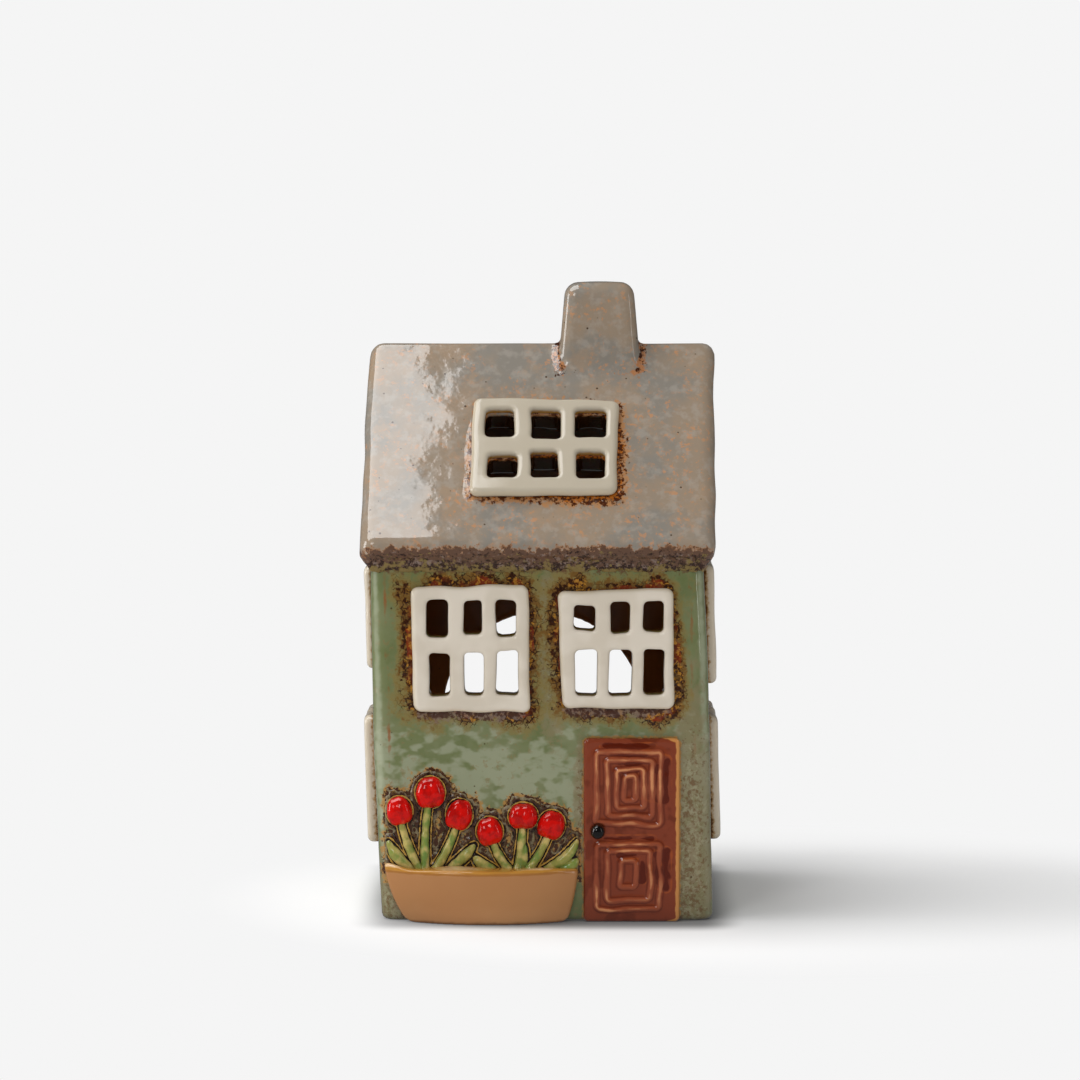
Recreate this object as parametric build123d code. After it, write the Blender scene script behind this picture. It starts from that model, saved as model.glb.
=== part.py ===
from build123d import *
from dataclasses import dataclass
from math import atan2, cos, radians, sin, tan
import os

# A glazed pottery house that holds one tealight. Lengths are millimetres, angles are degrees.
# The origin lies on the table under the middle of the four walls. X runs to the right as seen
# from the door, Y runs from the door to the back of the house, and Z points up.

# Floor and walls, luted from slabs of clay
body_width = 83.7
body_depth = 74.0
wall_height = 90.4
wall_thickness = 5.0
base_thickness = 5.0
wall_lean = 2.6
wall_corner_radius = 4.0
foot_radius = 1.2

# Roof, two slabs that meet at the ridge
roof_pitch = 49.9
roof_thickness = 7.0
gable_overhang = 2.6
eave_reach = 0.4
ridge_lean = 1.5
ridge_radius = 2.6
eave_radius = 2.5
roof_end_radius = 1.8

# Chimney, saddled over the ridge
chimney_place_share = 0.350
chimney_height = 16.2
chimney_foot_width = 21.6
chimney_top_width = 18.1
chimney_foot_depth = 13.0
chimney_top_depth = 11.0
chimney_corner_radius = 2.6
chimney_top_radius = 2.2

# Arched opening in the back wall
arch_half_width = 26.6
arch_spring_height = 44.0
arch_centre = -1.1

# Window plates, laid on the walls and pierced together with them
plate_thickness = 2.6
side_plate_thickness = 3.4
plate_corner_radius = 2.0
plate_edge_radius = 0.9
pane_corner_radius = 1.2
pane_edge_radius = 0.4
front_left_width = 29.8
front_left_sill_gap = 6.4
front_left_head_gap = 4.9
front_right_width = 29.4
front_right_sill_gap = 7.1
front_right_head_gap = 5.8
roof_window_width = 37.9
roof_window_height = 30.3
side_window_width = 32.0
side_left_upper_height = 26.6
side_left_lower_height = 33.0
side_right_upper_height = 31.4
side_right_lower_height = 32.4

# Places of the windows: across from the middle of the wall, as shares of half its width. The
# front ones stand between the door's top and the wall's top, each with its two gaps. The roof
# one lies at a share of the slope below the ridge, the side ones at shares of the wall's height.
front_left_place_share = -0.411
front_right_place_share = 0.459
roof_window_place_shares = (0.030, 0.534)
side_left_upper_place_share = 0.822
side_left_lower_place_share = 0.360
side_right_upper_place_share = 0.806
side_right_lower_place_share = 0.366

# Corners of a plate, from lower left round to upper left, as shares of its half sizes
front_left_corner_shares = ((-0.95, -0.99), (1.00, -1.00), (0.99, 1.00), (-1.00, 0.96))
front_right_corner_shares = ((-0.92, -0.98), (1.00, -1.00), (0.98, 1.00), (-1.00, 0.94))
roof_corner_shares = ((-1.00, -1.00), (0.95, -0.98), (1.00, 0.95), (-0.96, 1.00))
side_corner_shares = ((-0.97, -1.00), (1.00, -0.97), (0.97, 1.00), (-1.00, 0.96))

# Panes of a window: left, right, bottom and top as shares of the plate's half sizes
front_left_pane_shares = (
    (-0.70, -0.35, -0.74, -0.08), (-0.10, 0.23, -0.72, -0.07), (0.43, 0.80, -0.73, -0.03),
    (-0.74, -0.39, 0.18, 0.76), (-0.11, 0.20, 0.21, 0.76), (0.43, 0.77, 0.18, 0.75))
front_right_pane_shares = (
    (-0.70, -0.32, -0.77, -0.02), (-0.11, 0.27, -0.77, -0.02), (0.47, 0.83, -0.74, 0.00),
    (-0.73, -0.35, 0.29, 0.73), (-0.10, 0.24, 0.26, 0.76), (0.47, 0.81, 0.30, 0.78))
roof_pane_shares = (
    (-0.76, -0.37, -0.67, -0.20), (-0.19, 0.18, -0.66, -0.12), (0.42, 0.80, -0.68, -0.14),
    (-0.79, -0.41, 0.17, 0.73), (-0.18, 0.21, 0.13, 0.74), (0.40, 0.82, 0.15, 0.73))
side_pane_shares = (
    (-0.74, -0.38, -0.74, -0.10), (-0.17, 0.19, -0.74, -0.08), (0.40, 0.77, -0.73, -0.09),
    (-0.75, -0.38, 0.18, 0.72), (-0.18, 0.18, 0.18, 0.74), (0.39, 0.76, 0.19, 0.73))

# Door, a pressed slab with two sets of nested ridges
door_width = 24.4
door_height = 46.8
door_inset = 8.4
door_thickness = 1.8
door_edge_radius = 0.6
ridge_height = 0.7
ridge_width = 0.8
ridge_corner_radius = 1.6
ridge_sets = 4
upper_panel_height = 18.7
lower_panel_height = 17.3
panel_width = 17.0
upper_panel_place_shares = (-0.05, 0.715)
lower_panel_place_shares = (-0.05, 0.255)
knob_radius = 1.9
knob_sink = 0.5
knob_clearance = 0.3
knob_place_shares = (-0.70, 0.497)

# Flower box, a boat-shaped half trough filled level with clay, that fills the wall's foot from
# its left corner, less the inset, to the door, less the gap
planter_height = 14.2
planter_inset = 1.3
planter_gap = 1.3
planter_left_slant = 4.1
planter_right_slant = 1.5
planter_end_depth = 1.6
planter_top_bulge = 8.6
planter_foot_bulge = 6.4

# Tulips: heads, stems and leaves, sprigged on to the wall above the flower box
bloom_rise = 18.6
bloom_gap = 1.45
head_height = 7.4
stem_width = 1.7
stem_depth = 1.8
leaf_width = 2.6
leaf_depth = 1.5

# Heads: place across the flower box and up the bloom rise, then width and height, all as shares
head_shares = (
    (0.069, 0.748, 0.94, 0.94), (0.231, 1.000, 1.06, 1.03), (0.382, 0.698, 0.94, 1.03),
    (0.540, 0.467, 0.94, 0.94), (0.715, 0.677, 1.06, 0.86), (0.863, 0.557, 0.97, 0.95))
head_tilts = (14.0, 3.0, -18.0, 12.0, -2.0, -20.0)

# Stems: foot across the flower box, and the bow of the stem as a share of its length
stem_shares = (
    (0.177, 0.05), (0.205, 0.03), (0.255, -0.05), (0.640, 0.06), (0.686, -0.02), (0.742, -0.05))

# Leaves: foot across the box, tip across it, tip up the bloom rise, and the bow as a share
leaf_shares = (
    (0.152, 0.010, 0.350, 0.10), (0.308, 0.465, 0.300, -0.06), (0.585, 0.458, 0.140, 0.12),
    (0.802, 1.000, 0.364, -0.13), (0.885, 1.000, 0.100, -0.13), (0.713, 0.719, 0.310, 0.03))

# Standard tealight that the house is made for
cup_diameter = 38.0
cup_height = 16.0
cup_wall = 0.5
cup_rim_width = 0.8
cup_rim_height = 0.9
wax_depth = 12.5
wick_diameter = 1.5
wick_rise = 6.0
tab_diameter = 12.0
tab_thickness = 0.4
collar_diameter = 3.4
collar_height = 3.0

# Extra reach of every cut past the faces that it crosses
overrun = 4.0

# Solids of turned and boxed pieces stand on the face that carries them
on_face = (Align.CENTER, Align.CENTER, Align.MIN)

# Worked out from the sizes above
half_width = body_width / 2
half_depth = body_depth / 2
pitch = radians(roof_pitch)
ridge_underside = wall_height + half_depth * tan(pitch)
ridge_line = ridge_underside + roof_thickness / cos(pitch)
slope_down = Vector(0, -cos(pitch), -sin(pitch))
slope_out = Vector(0, -sin(pitch), cos(pitch))
eave_run = half_depth / cos(pitch) + eave_reach + roof_thickness * tan(pitch)
front_left_height = wall_height - front_left_head_gap - door_height - front_left_sill_gap
front_right_height = wall_height - front_right_head_gap - door_height - front_right_sill_gap
planter_left = planter_inset - half_width
planter_width = body_width - planter_inset - planter_gap - door_width - door_inset
head_width = planter_width / len(head_shares) - bloom_gap
lean_angle = atan2(wall_lean, wall_height)
tealight_place = Pos(arch_centre, 0, base_thickness)


@dataclass
class Window:
    """A window plate: its size and the shares that shape its outline and its panes."""
    width: float
    height: float
    thickness: float
    corner_shares: tuple
    pane_shares: tuple


def lean_at(height):
    """Sideways shift of the house's middle line at a height above the table."""
    if height <= wall_height:
        return -wall_lean * height / wall_height
    return ridge_lean * (height - wall_height) / (ridge_line - wall_height) - wall_lean


def leaning_block(half, low, high):
    """Block through the full depth whose two ends follow the lean of the house."""
    heights = (low, wall_height, high)
    right = [(half + lean_at(z), z) for z in heights]
    left = [(lean_at(z) - half, z) for z in reversed(heights)]
    outline = make_face(Plane.XZ * Polyline(*right, *left, close=True))
    return extrude(outline, amount=body_depth, both=True)


def gable_block(inset, low):
    """Five-sided prism along X: the house's section, drawn in from the front and the back."""
    reach = half_depth - inset
    shoulder = ridge_underside - reach * tan(pitch)
    points = [(-reach, low), (reach, low), (reach, shoulder), (0, ridge_underside), (-reach, shoulder)]
    return extrude(make_face(Plane.YZ * Polyline(*points, close=True)), amount=body_width, both=True)


def band(low, high):
    """Block that spans the whole house across and up, between two places along Y."""
    return Pos(0, (low + high) / 2, 0) * Box(2 * body_width, high - low, 4 * wall_height)


def house_outside():
    """Solid house without its roof, with its four upright corners rounded."""
    block = gable_block(0, 0) & leaning_block(half_width, 0, ridge_underside)
    corners = [e for e in block.edges() if e.bounding_box().size.Z > wall_height / 2
               and e.bounding_box().size.Y < overrun]
    return fillet(corners, wall_corner_radius)


def house_inside():
    """Space between the four walls, from the floor up to the underside of the roof."""
    space = leaning_block(half_width - wall_thickness, base_thickness, ridge_underside)
    return gable_block(wall_thickness, base_thickness) & space


def plate_outline(window):
    """Four-cornered outline of a window plate, with rounded corners."""
    points = [(x * window.width / 2, y * window.height / 2) for x, y in window.corner_shares]
    outline = make_face(Polyline(*points, close=True))
    return fillet(outline.vertices(), plate_corner_radius)


def pane_cuts(window, depth):
    """The six panes as prisms from a depth behind the plate to past its face."""
    cuts = Part()
    for left, right, low, high in window.pane_shares:
        centre = Pos((left + right) * window.width / 4, (low + high) * window.height / 4)
        pane = centre * RectangleRounded((right - left) * window.width / 2,
                                         (high - low) * window.height / 2, pane_corner_radius)
        cuts += Pos(0, 0, -depth - overrun) * extrude(pane, amount=depth + window.thickness + 2 * overrun)
    return cuts


def window_plate(window):
    """Pierced plate that lies on the XY plane, with soft edges round its face and its panes."""
    slab = extrude(plate_outline(window), amount=window.thickness)
    slab = fillet(slab.faces().sort_by(Axis.Z)[-1].edges(), plate_edge_radius)
    slab -= pane_cuts(window, 0)
    face = slab.faces().sort_by(Axis.Z)[-1]
    rims = [e for wire in face.inner_wires() for e in wire.edges()]
    return fillet(rims, pane_edge_radius)


def front_plane(across, head_gap, tall):
    """Plane on the front wall, facing out, at the middle of a window under the wall's top."""
    height = wall_height - head_gap - tall / 2
    return Plane((across * half_width + lean_at(height), -half_depth, height), (1, 0, 0), (0, -1, 0))


def side_plane(side, up):
    """Plane on a side wall, facing out: side is -1 on the left and 1 on the right."""
    height = up * wall_height
    outward = (side * cos(lean_angle), 0, side * sin(lean_angle))
    return Plane((side * half_width + lean_at(height), 0, height), (0, side, 0), outward)


def roof_plane(across, down):
    """Plane on the front slope of the roof, facing out, at a share of the slope's length."""
    place = Vector(0, 0, ridge_line) + slope_down * (down * eave_run)
    return Plane((across * half_width + lean_at(place.Z), place.Y, place.Z), (1, 0, 0), slope_out)


def windows():
    """Every window: its name, what it is, the plane it lies on and what it is pierced through."""
    front_left = Window(front_left_width, front_left_height, plate_thickness,
                        front_left_corner_shares, front_left_pane_shares)
    front_right = Window(front_right_width, front_right_height, plate_thickness,
                         front_right_corner_shares, front_right_pane_shares)
    roof = Window(roof_window_width, roof_window_height, plate_thickness,
                  roof_corner_shares, roof_pane_shares)
    found = [
        ("front_window_left", front_left,
         front_plane(front_left_place_share, front_left_head_gap, front_left_height), wall_thickness),
        ("front_window_right", front_right,
         front_plane(front_right_place_share, front_right_head_gap, front_right_height), wall_thickness),
        ("roof_window", roof, roof_plane(*roof_window_place_shares), roof_thickness),
    ]
    for name, side, height, place_share in (
            ("side_window_left_upper", -1, side_left_upper_height, side_left_upper_place_share),
            ("side_window_left_lower", -1, side_left_lower_height, side_left_lower_place_share),
            ("side_window_right_upper", 1, side_right_upper_height, side_right_upper_place_share),
            ("side_window_right_lower", 1, side_right_lower_height, side_right_lower_place_share)):
        plate = Window(side_window_width, height, side_plate_thickness, side_corner_shares, side_pane_shares)
        found.append((name, plate, side_plane(side, place_share), wall_thickness))
    return found


def arch_cut():
    """Round-headed opening through the back wall, down to the floor slab."""
    head = Pos(arch_centre, arch_spring_height) * Circle(arch_half_width)
    rise = arch_spring_height - base_thickness
    legs = Pos(arch_centre, base_thickness + rise / 2) * Rectangle(2 * arch_half_width, rise)
    opening = head + legs
    opening &= Pos(arch_centre, base_thickness + rise) * Rectangle(2 * arch_half_width, 2 * rise)
    through = Plane.XZ.offset(-half_depth - overrun) * opening
    return extrude(through, amount=wall_thickness + 2 * overrun)


def roof_outline(filled):
    """Section of the roof across the ridge, as a bent slab or filled down to the wall tops."""
    eave = Vector(0, 0, ridge_line) + slope_down * eave_run
    inner = eave - slope_out * roof_thickness
    outside = [(-eave.Y, eave.Z), (0, ridge_line), (eave.Y, eave.Z)]
    inside = [(inner.Y, inner.Z), (-inner.Y, inner.Z)]
    if not filled:
        inside.insert(1, (0, ridge_underside))
    return make_face(Polyline(*outside, *inside, close=True)), eave


def roof_solid(filled):
    """The whole roof: rounded along its ridge and its eaves, and round its two ends."""
    outline, eave = roof_outline(filled)
    ridge = [v for v in outline.vertices() if abs(v.Y - ridge_line) < foot_radius]
    outline = fillet(ridge, ridge_radius)
    tips = [v for v in outline.vertices() if abs(abs(v.X) - abs(eave.Y)) < foot_radius
            and v.Y > eave.Z - foot_radius]
    outline = fillet(tips, eave_radius)
    block = extrude(Plane.YZ * outline, amount=body_width, both=True)
    return block & leaning_block(half_width + gable_overhang, 0, ridge_line + overrun)


def roof():
    """Bent roof slab with its outer end edges softened."""
    slab = roof_solid(False)
    ends = []
    for side in (-1, 1):
        face = slab.faces().sort_by(Axis.X)[0 if side < 0 else -1]
        ends += [e for e in face.edges() if is_outer_edge(e)]
    return fillet(ends, roof_end_radius)


def is_outer_edge(edge):
    """True for an end edge that lies on the roof's weather side."""
    middle = edge @ 0.5
    height = ridge_line - abs(middle.Y) * tan(pitch)
    return middle.Z > height - roof_thickness / cos(pitch) / 2 - ridge_radius


def chimney():
    """Tapered stack with round corners and a closed, crowned top, cut to saddle the ridge."""
    ridge = ridge_line - ridge_radius * (1 / cos(pitch) - 1)
    foot = ridge_line - (chimney_foot_depth / 2) * tan(pitch) - foot_radius
    top = ridge + chimney_height
    across = chimney_place_share * half_width + lean_at(ridge)
    low = Pos(across, 0, foot) * Rectangle(chimney_foot_width, chimney_foot_depth)
    high = Pos(across, 0, top) * Rectangle(chimney_top_width, chimney_top_depth)
    stack = loft([low.face(), high.face()])
    uprights = [e for e in stack.edges() if e.bounding_box().size.Z > chimney_height / 2]
    stack = fillet(uprights, chimney_corner_radius)
    stack = fillet(stack.faces().sort_by(Axis.Z)[-1].edges(), chimney_top_radius)
    return stack - roof_solid(True)


def door_plane():
    """Plane on the front wall at the middle of the door's foot."""
    return Plane((half_width - door_inset - door_width / 2, -half_depth, 0), (1, 0, 0), (0, -1, 0))


def door_point(shares):
    """Place on the door from shares of its half width and its height."""
    return Pos(shares[0] * door_width / 2, shares[1] * door_height, door_thickness)


def ridge_rings(height, place_shares):
    """Nested raised frames of one door panel."""
    rings = Part()
    step_across = panel_width / (2 * ridge_sets)
    step_up = height / (2 * ridge_sets + 2)
    for turn in range(ridge_sets):
        width = panel_width - 2 * turn * step_across
        tall = height - 2 * turn * step_up
        corner = min(ridge_corner_radius, width / 2 - ridge_width / 4)
        frame = RectangleRounded(width, tall, corner) - RectangleRounded(
            width - 2 * ridge_width, tall - 2 * ridge_width, corner / 2)
        rings += door_point(place_shares) * extrude(frame, amount=ridge_height)
    return rings


def door_panel():
    """Door slab with its ridges, standing on the table line and lying on the wall."""
    slab = Pos(0, door_height / 2, 0) * extrude(Rectangle(door_width, door_height), amount=door_thickness)
    slab = fillet(slab.faces().sort_by(Axis.Z)[-1].edges(), door_edge_radius)
    slab += ridge_rings(upper_panel_height, upper_panel_place_shares)
    slab += ridge_rings(lower_panel_height, lower_panel_place_shares)
    seat = Cylinder(knob_radius + knob_clearance, 2 * knob_radius, align=on_face)
    return door_plane().location * (slab - door_point(knob_place_shares) * seat)


def door_knob():
    """Ball knob, sunk a little so that it seats on a flat."""
    ball = Pos(0, 0, knob_radius - knob_sink) * Sphere(knob_radius)
    keep = Box(4 * knob_radius, 4 * knob_radius, 4 * knob_radius, align=on_face)
    return door_plane().location * (door_point(knob_place_shares) * (ball & keep))


def planter_section(left, right, bulge, height):
    """Half-boat outline at one height, flat against the wall and bowed to the front."""
    front = -half_depth - planter_end_depth
    ends = [(right, front, height), (right, -half_depth, height),
            (left, -half_depth, height), (left, front, height)]
    middle = ((left + right) / 2, -half_depth - bulge, height)
    return make_face([ThreePointArc(ends[-1], middle, ends[0]), *Polyline(*ends).edges()])


def flower_box():
    """Trough that widens from its foot to its rim."""
    right = planter_left + planter_width
    foot = planter_section(planter_left + planter_left_slant, right - planter_right_slant,
                           planter_foot_bulge, 0)
    rim = planter_section(planter_left, right, planter_top_bulge, planter_height)
    return loft([foot.face(), rim.face()], ruled=True)


def bed_point(across, up):
    """Place above the flower box, on the front wall, from shares of its width and the rise."""
    return Vector(planter_left + across * planter_width, planter_height + up * bloom_rise)


def head_profile(width, height):
    """Right half of a closed tulip bloom, round below and drawn in above."""
    half = width / 2
    side = Vector(half, -0.04 * height)
    lip = Vector(0.55 * half, 0.44 * height)
    bowl = ThreePointArc((0, -height / 2), (0.76 * half, -0.34 * height), side)
    petal = ThreePointArc(side, (0.90 * half, 0.24 * height), lip)
    crown = ThreePointArc(lip, (0.30 * half, 0.49 * height), (0, height / 2))
    return make_face([bowl, petal, crown, Line((0, height / 2), (0, -height / 2))])


def head_place(index):
    """Location of a bloom on the wall, with its tilt."""
    across, up = head_shares[index][:2]
    point = bed_point(across, up)
    return Pos(point.X, point.Y) * Rot(0, 0, head_tilts[index])


def head_size(index):
    """Width and height of a bloom."""
    return head_shares[index][2] * head_width, head_shares[index][3] * head_height


def head_outline(index):
    """Flat outline of a bloom where it lies on the wall."""
    width, height = head_size(index)
    half = head_profile(width, height)
    return head_place(index) * (half + mirror(half, Plane.YZ))


def tulip_head(index):
    """Half-round bloom with its flat side on the wall."""
    profile = head_profile(*head_size(index))
    bloom = revolve(profile, Axis((0, 0, 0), (0, -1, 0)), revolution_arc=180)
    return wall_plane().location * (head_place(index) * bloom)


def wall_plane():
    """The front wall's outer face, with its local origin on the table line."""
    return Plane((0, -half_depth, 0), (1, 0, 0), (0, -1, 0))


def bowed_bar(start, end, width, bow):
    """Flat bar of even width between two points, bowed sideways by a share of its length."""
    run = end - start
    side = Vector(-run.Y, run.X).normalized() * (width / 2)
    middle = (start + end) * 0.5 + Vector(-run.Y, run.X) * bow
    left = ThreePointArc(start + side, middle + side, end + side)
    right = ThreePointArc(start - side, middle - side, end - side)
    return make_face([left, right, Line(start + side, start - side), Line(end + side, end - side)])


def blade(start, end, width, bow):
    """Pointed leaf between two points: two arcs, one more bowed than the other."""
    run = end - start
    middle = (start + end) * 0.5 + Vector(-run.Y, run.X) * bow
    side = Vector(-run.Y, run.X).normalized() * (width / 2)
    return make_face([ThreePointArc(start, middle + side, end), ThreePointArc(start, middle - side, end)])


def largest(shape):
    """The largest face of a trimmed outline."""
    return max(shape.faces(), key=lambda face: face.area)


def above_box():
    """The part of the wall plane over the flower box."""
    reach = planter_width + 2 * overrun
    middle = bed_point(0.5, 0) + Vector(0, reach / 2)
    return Pos(middle.X, middle.Y) * Rectangle(reach, reach)


def sprigs():
    """Stems and leaves, each trimmed by the blooms and the sprigs laid before it."""
    taken = head_outline(0)
    for index in range(1, len(head_shares)):
        taken += head_outline(index)
    pieces = {}
    for index, (foot, bow) in enumerate(stem_shares):
        bloom = bed_point(*head_shares[index][:2])
        root = bed_point(foot, 0) - Vector(0, stem_width)
        outline = (bowed_bar(root, bloom, stem_width, bow) & above_box()) - taken
        pieces[f"tulip_stem_{index + 1}"] = extrude_on_wall(largest(outline), stem_depth)
        taken += largest(outline)
    for index, (foot, tip_across, tip_up, bow) in enumerate(leaf_shares):
        root = bed_point(foot, 0) - Vector(0, leaf_width)
        outline = (blade(root, bed_point(tip_across, tip_up), leaf_width, bow) & above_box()) - taken
        pieces[f"leaf_{index + 1}"] = extrude_on_wall(largest(outline), leaf_depth)
        taken += largest(outline)
    return pieces


def extrude_on_wall(face, depth):
    """Raise a flat outline from the front wall."""
    return wall_plane().location * extrude(face, amount=depth)


def tealight():
    """Cup, wax, wick and wick tab of the tealight, standing on the floor slab."""
    radius = cup_diameter / 2
    inner = radius - cup_wall
    cup = Cylinder(radius, cup_height, align=on_face)
    rim = Cylinder(radius + cup_rim_width, cup_rim_height, align=on_face)
    cup += Pos(0, 0, cup_height - cup_rim_height) * rim
    cup -= Pos(0, 0, cup_wall) * Cylinder(inner, cup_height, align=on_face)
    tab = Cylinder(tab_diameter / 2, tab_thickness, align=on_face)
    tab += Cylinder(collar_diameter / 2, collar_height, align=on_face)
    wick_length = wax_depth + wick_rise - tab_thickness
    wick = Pos(0, 0, tab_thickness) * Cylinder(wick_diameter / 2, wick_length, align=on_face)
    tab -= wick
    wax = Cylinder(inner, wax_depth, align=on_face) - tab - wick
    inside = tealight_place * Pos(0, 0, cup_wall)
    return {"tealight_cup": tealight_place * cup, "wick_tab": inside * tab,
            "tealight_wick": inside * wick, "tealight_wax": inside * wax}


def walls():
    """Floor slab and four wall slabs, pierced for the windows and the arch."""
    outside = house_outside()
    shell = outside - house_inside()
    inner = half_depth - wall_thickness
    floor_band = Pos(0, 0, base_thickness / 2) * Box(2 * body_width, 2 * body_depth, base_thickness)
    base = outside & floor_band
    base = fillet(base.faces().sort_by(Axis.Z)[0].edges(), foot_radius)
    upper = shell - floor_band
    sides = upper & band(-inner, inner)
    left, right = sorted(sides.solids(), key=lambda solid: solid.center().X)
    return {"base_slab": base,
            "front_wall": upper & band(-half_depth - overrun, -inner),
            "back_wall": (upper & band(inner, half_depth + overrun)) - arch_cut(),
            "left_wall": left, "right_wall": right}


def roof_slabs():
    """The two roof slabs, parted at the ridge."""
    whole = roof()
    reach = 2 * body_depth
    return {"front_roof_slab": whole & band(-reach, 0), "rear_roof_slab": whole & band(0, reach)}


def house():
    """Every piece of the house and its tealight, by node name."""
    pieces = {**walls(), **roof_slabs(), "chimney": chimney()}
    carriers = {"front": "front_wall", "roof": "front_roof_slab",
                "side_window_left": "left_wall", "side_window_right": "right_wall"}
    for name, window, plane, depth in windows():
        pieces[name] = plane.location * window_plate(window)
        carrier = next(wall for key, wall in carriers.items() if name.startswith(key))
        pieces[carrier] -= plane.location * pane_cuts(window, depth)
    pieces.update(door_panel=door_panel(), door_knob=door_knob(), flower_box=flower_box())
    for index in range(len(head_shares)):
        pieces[f"tulip_head_{index + 1}"] = tulip_head(index)
    return {**pieces, **sprigs(), **tealight()}


os.makedirs("parts", exist_ok=True)
for node, shape in house().items():
    export_step(shape, f"parts/{node}.step")
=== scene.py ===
"""Dresses the glazed pottery tealight house: its meshes, finishes, light and camera."""
import logging
import math
from collections.abc import Callable
from dataclasses import dataclass
from enum import Enum

import bpy
import numpy as np
from bpy.types import ID, Material, Node, NodeSocket, NodeSocketCollection, NodeTree, Object
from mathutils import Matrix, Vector


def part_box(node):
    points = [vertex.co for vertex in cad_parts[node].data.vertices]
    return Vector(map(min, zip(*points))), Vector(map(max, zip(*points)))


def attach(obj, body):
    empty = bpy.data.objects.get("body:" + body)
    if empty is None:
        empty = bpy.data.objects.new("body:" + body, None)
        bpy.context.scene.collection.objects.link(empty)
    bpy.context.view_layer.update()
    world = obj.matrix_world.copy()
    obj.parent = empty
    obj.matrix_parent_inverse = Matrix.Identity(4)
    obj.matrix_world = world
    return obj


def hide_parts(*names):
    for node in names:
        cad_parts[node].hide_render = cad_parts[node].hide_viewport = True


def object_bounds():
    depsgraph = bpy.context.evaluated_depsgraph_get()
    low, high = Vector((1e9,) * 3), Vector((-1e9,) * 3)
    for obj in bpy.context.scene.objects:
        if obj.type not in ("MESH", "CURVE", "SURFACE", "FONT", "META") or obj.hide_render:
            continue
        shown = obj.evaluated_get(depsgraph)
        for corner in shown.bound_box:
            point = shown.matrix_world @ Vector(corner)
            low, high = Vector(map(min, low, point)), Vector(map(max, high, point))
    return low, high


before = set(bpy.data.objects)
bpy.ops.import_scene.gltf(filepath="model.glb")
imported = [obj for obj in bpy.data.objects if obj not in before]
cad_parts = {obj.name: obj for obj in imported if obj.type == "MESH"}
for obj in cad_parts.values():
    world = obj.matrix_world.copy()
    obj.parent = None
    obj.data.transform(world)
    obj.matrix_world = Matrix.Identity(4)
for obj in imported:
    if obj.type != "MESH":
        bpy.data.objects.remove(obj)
CAD_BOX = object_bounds()

LOG = logging.getLogger("tealight_house")
MM = 0.001

Array = np.ndarray
Field = Callable[[Array], Array]


# Soft solids: every clay form is a distance in millimetres, negative inside

def round_meet(radius: float, *sides: Array) -> Array:
    """Keeps what lies inside every side, with the edges between them rounded.

    Args:
        radius: radius of the rounded edges, in mm.
        sides: distances to the sides, negative inside.

    Returns:
        The distance to the rounded form.
    """
    deepest = np.maximum.reduce(sides)
    reach = np.sqrt(sum(np.maximum(side + radius, 0.0) ** 2 for side in sides))
    return np.minimum(deepest, -radius) + reach


def soft_join(first: Array, second: Array, width: float) -> Array:
    """Joins two forms with a fillet of wet clay that starts a width, in mm, from their seam."""
    share = np.clip(0.5 + 0.5 * (second - first) / width, 0.0, 1.0)
    return second * (1 - share) + first * share - width * share * (1 - share)


def egg(points: Array, centre: tuple, radii: tuple) -> Array:
    """Distance to an ellipsoid, near enough for meshing.

    Args:
        points: places to measure, one row each.
        centre: middle of the ellipsoid.
        radii: its three half sizes.

    Returns:
        The distance at each point.
    """
    scaled = (points - np.array(centre)) / np.array(radii)
    near = np.linalg.norm(scaled, axis=1)
    slope = np.linalg.norm(scaled / np.array(radii), axis=1) + 1e-9
    return near * (near - 1.0) / slope


def smooth_step(low: float, high: float, value: Array) -> Array:
    """Share that rises smoothly from 0 where a value is low to 1 where it is high."""
    share = np.clip((value - low) / (high - low), 0.0, 1.0)
    return share * share * (3 - 2 * share)


@dataclass(frozen=True)
class Ripple:
    """Smooth random undulation, as hands and kiln leave it in clay."""
    wavelength: float
    seed: int
    waves: int = 14

    def at(self, points: Array) -> Array:
        """Height of the undulation, about 1 at its crests.

        Args:
            points: places in mm, one row each.

        Returns:
            The height at each point.
        """
        rng = np.random.default_rng(self.seed)
        ways = rng.normal(size=(self.waves, 3))
        ways /= np.linalg.norm(ways, axis=1)[:, None]
        ways *= (math.tau / self.wavelength) * rng.uniform(0.7, 1.4, self.waves)[:, None]
        phases = rng.uniform(0.0, math.tau, self.waves)
        total = np.zeros(len(points))
        for way, phase in zip(ways, phases):
            total += np.cos(points @ way + phase)
        return total / math.sqrt(self.waves)


@dataclass(frozen=True)
class Plane:
    """A place on the house: an origin with right, up and out directions."""
    origin: Array
    right: Array
    up: Array
    out: Array

    def local(self, points: Array) -> tuple[Array, Array, Array]:
        """Distances of points, in mm, right, up and out of the origin."""
        away = points - self.origin
        return away @ self.right, away @ self.up, away @ self.out

    def world(self, right: Array, up: Array, out: Array) -> Array:
        """Points, in mm, at distances right, up and out of the origin."""
        return (self.origin + np.outer(right, self.right) + np.outer(up, self.up)
                + np.outer(out, self.out))


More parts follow.
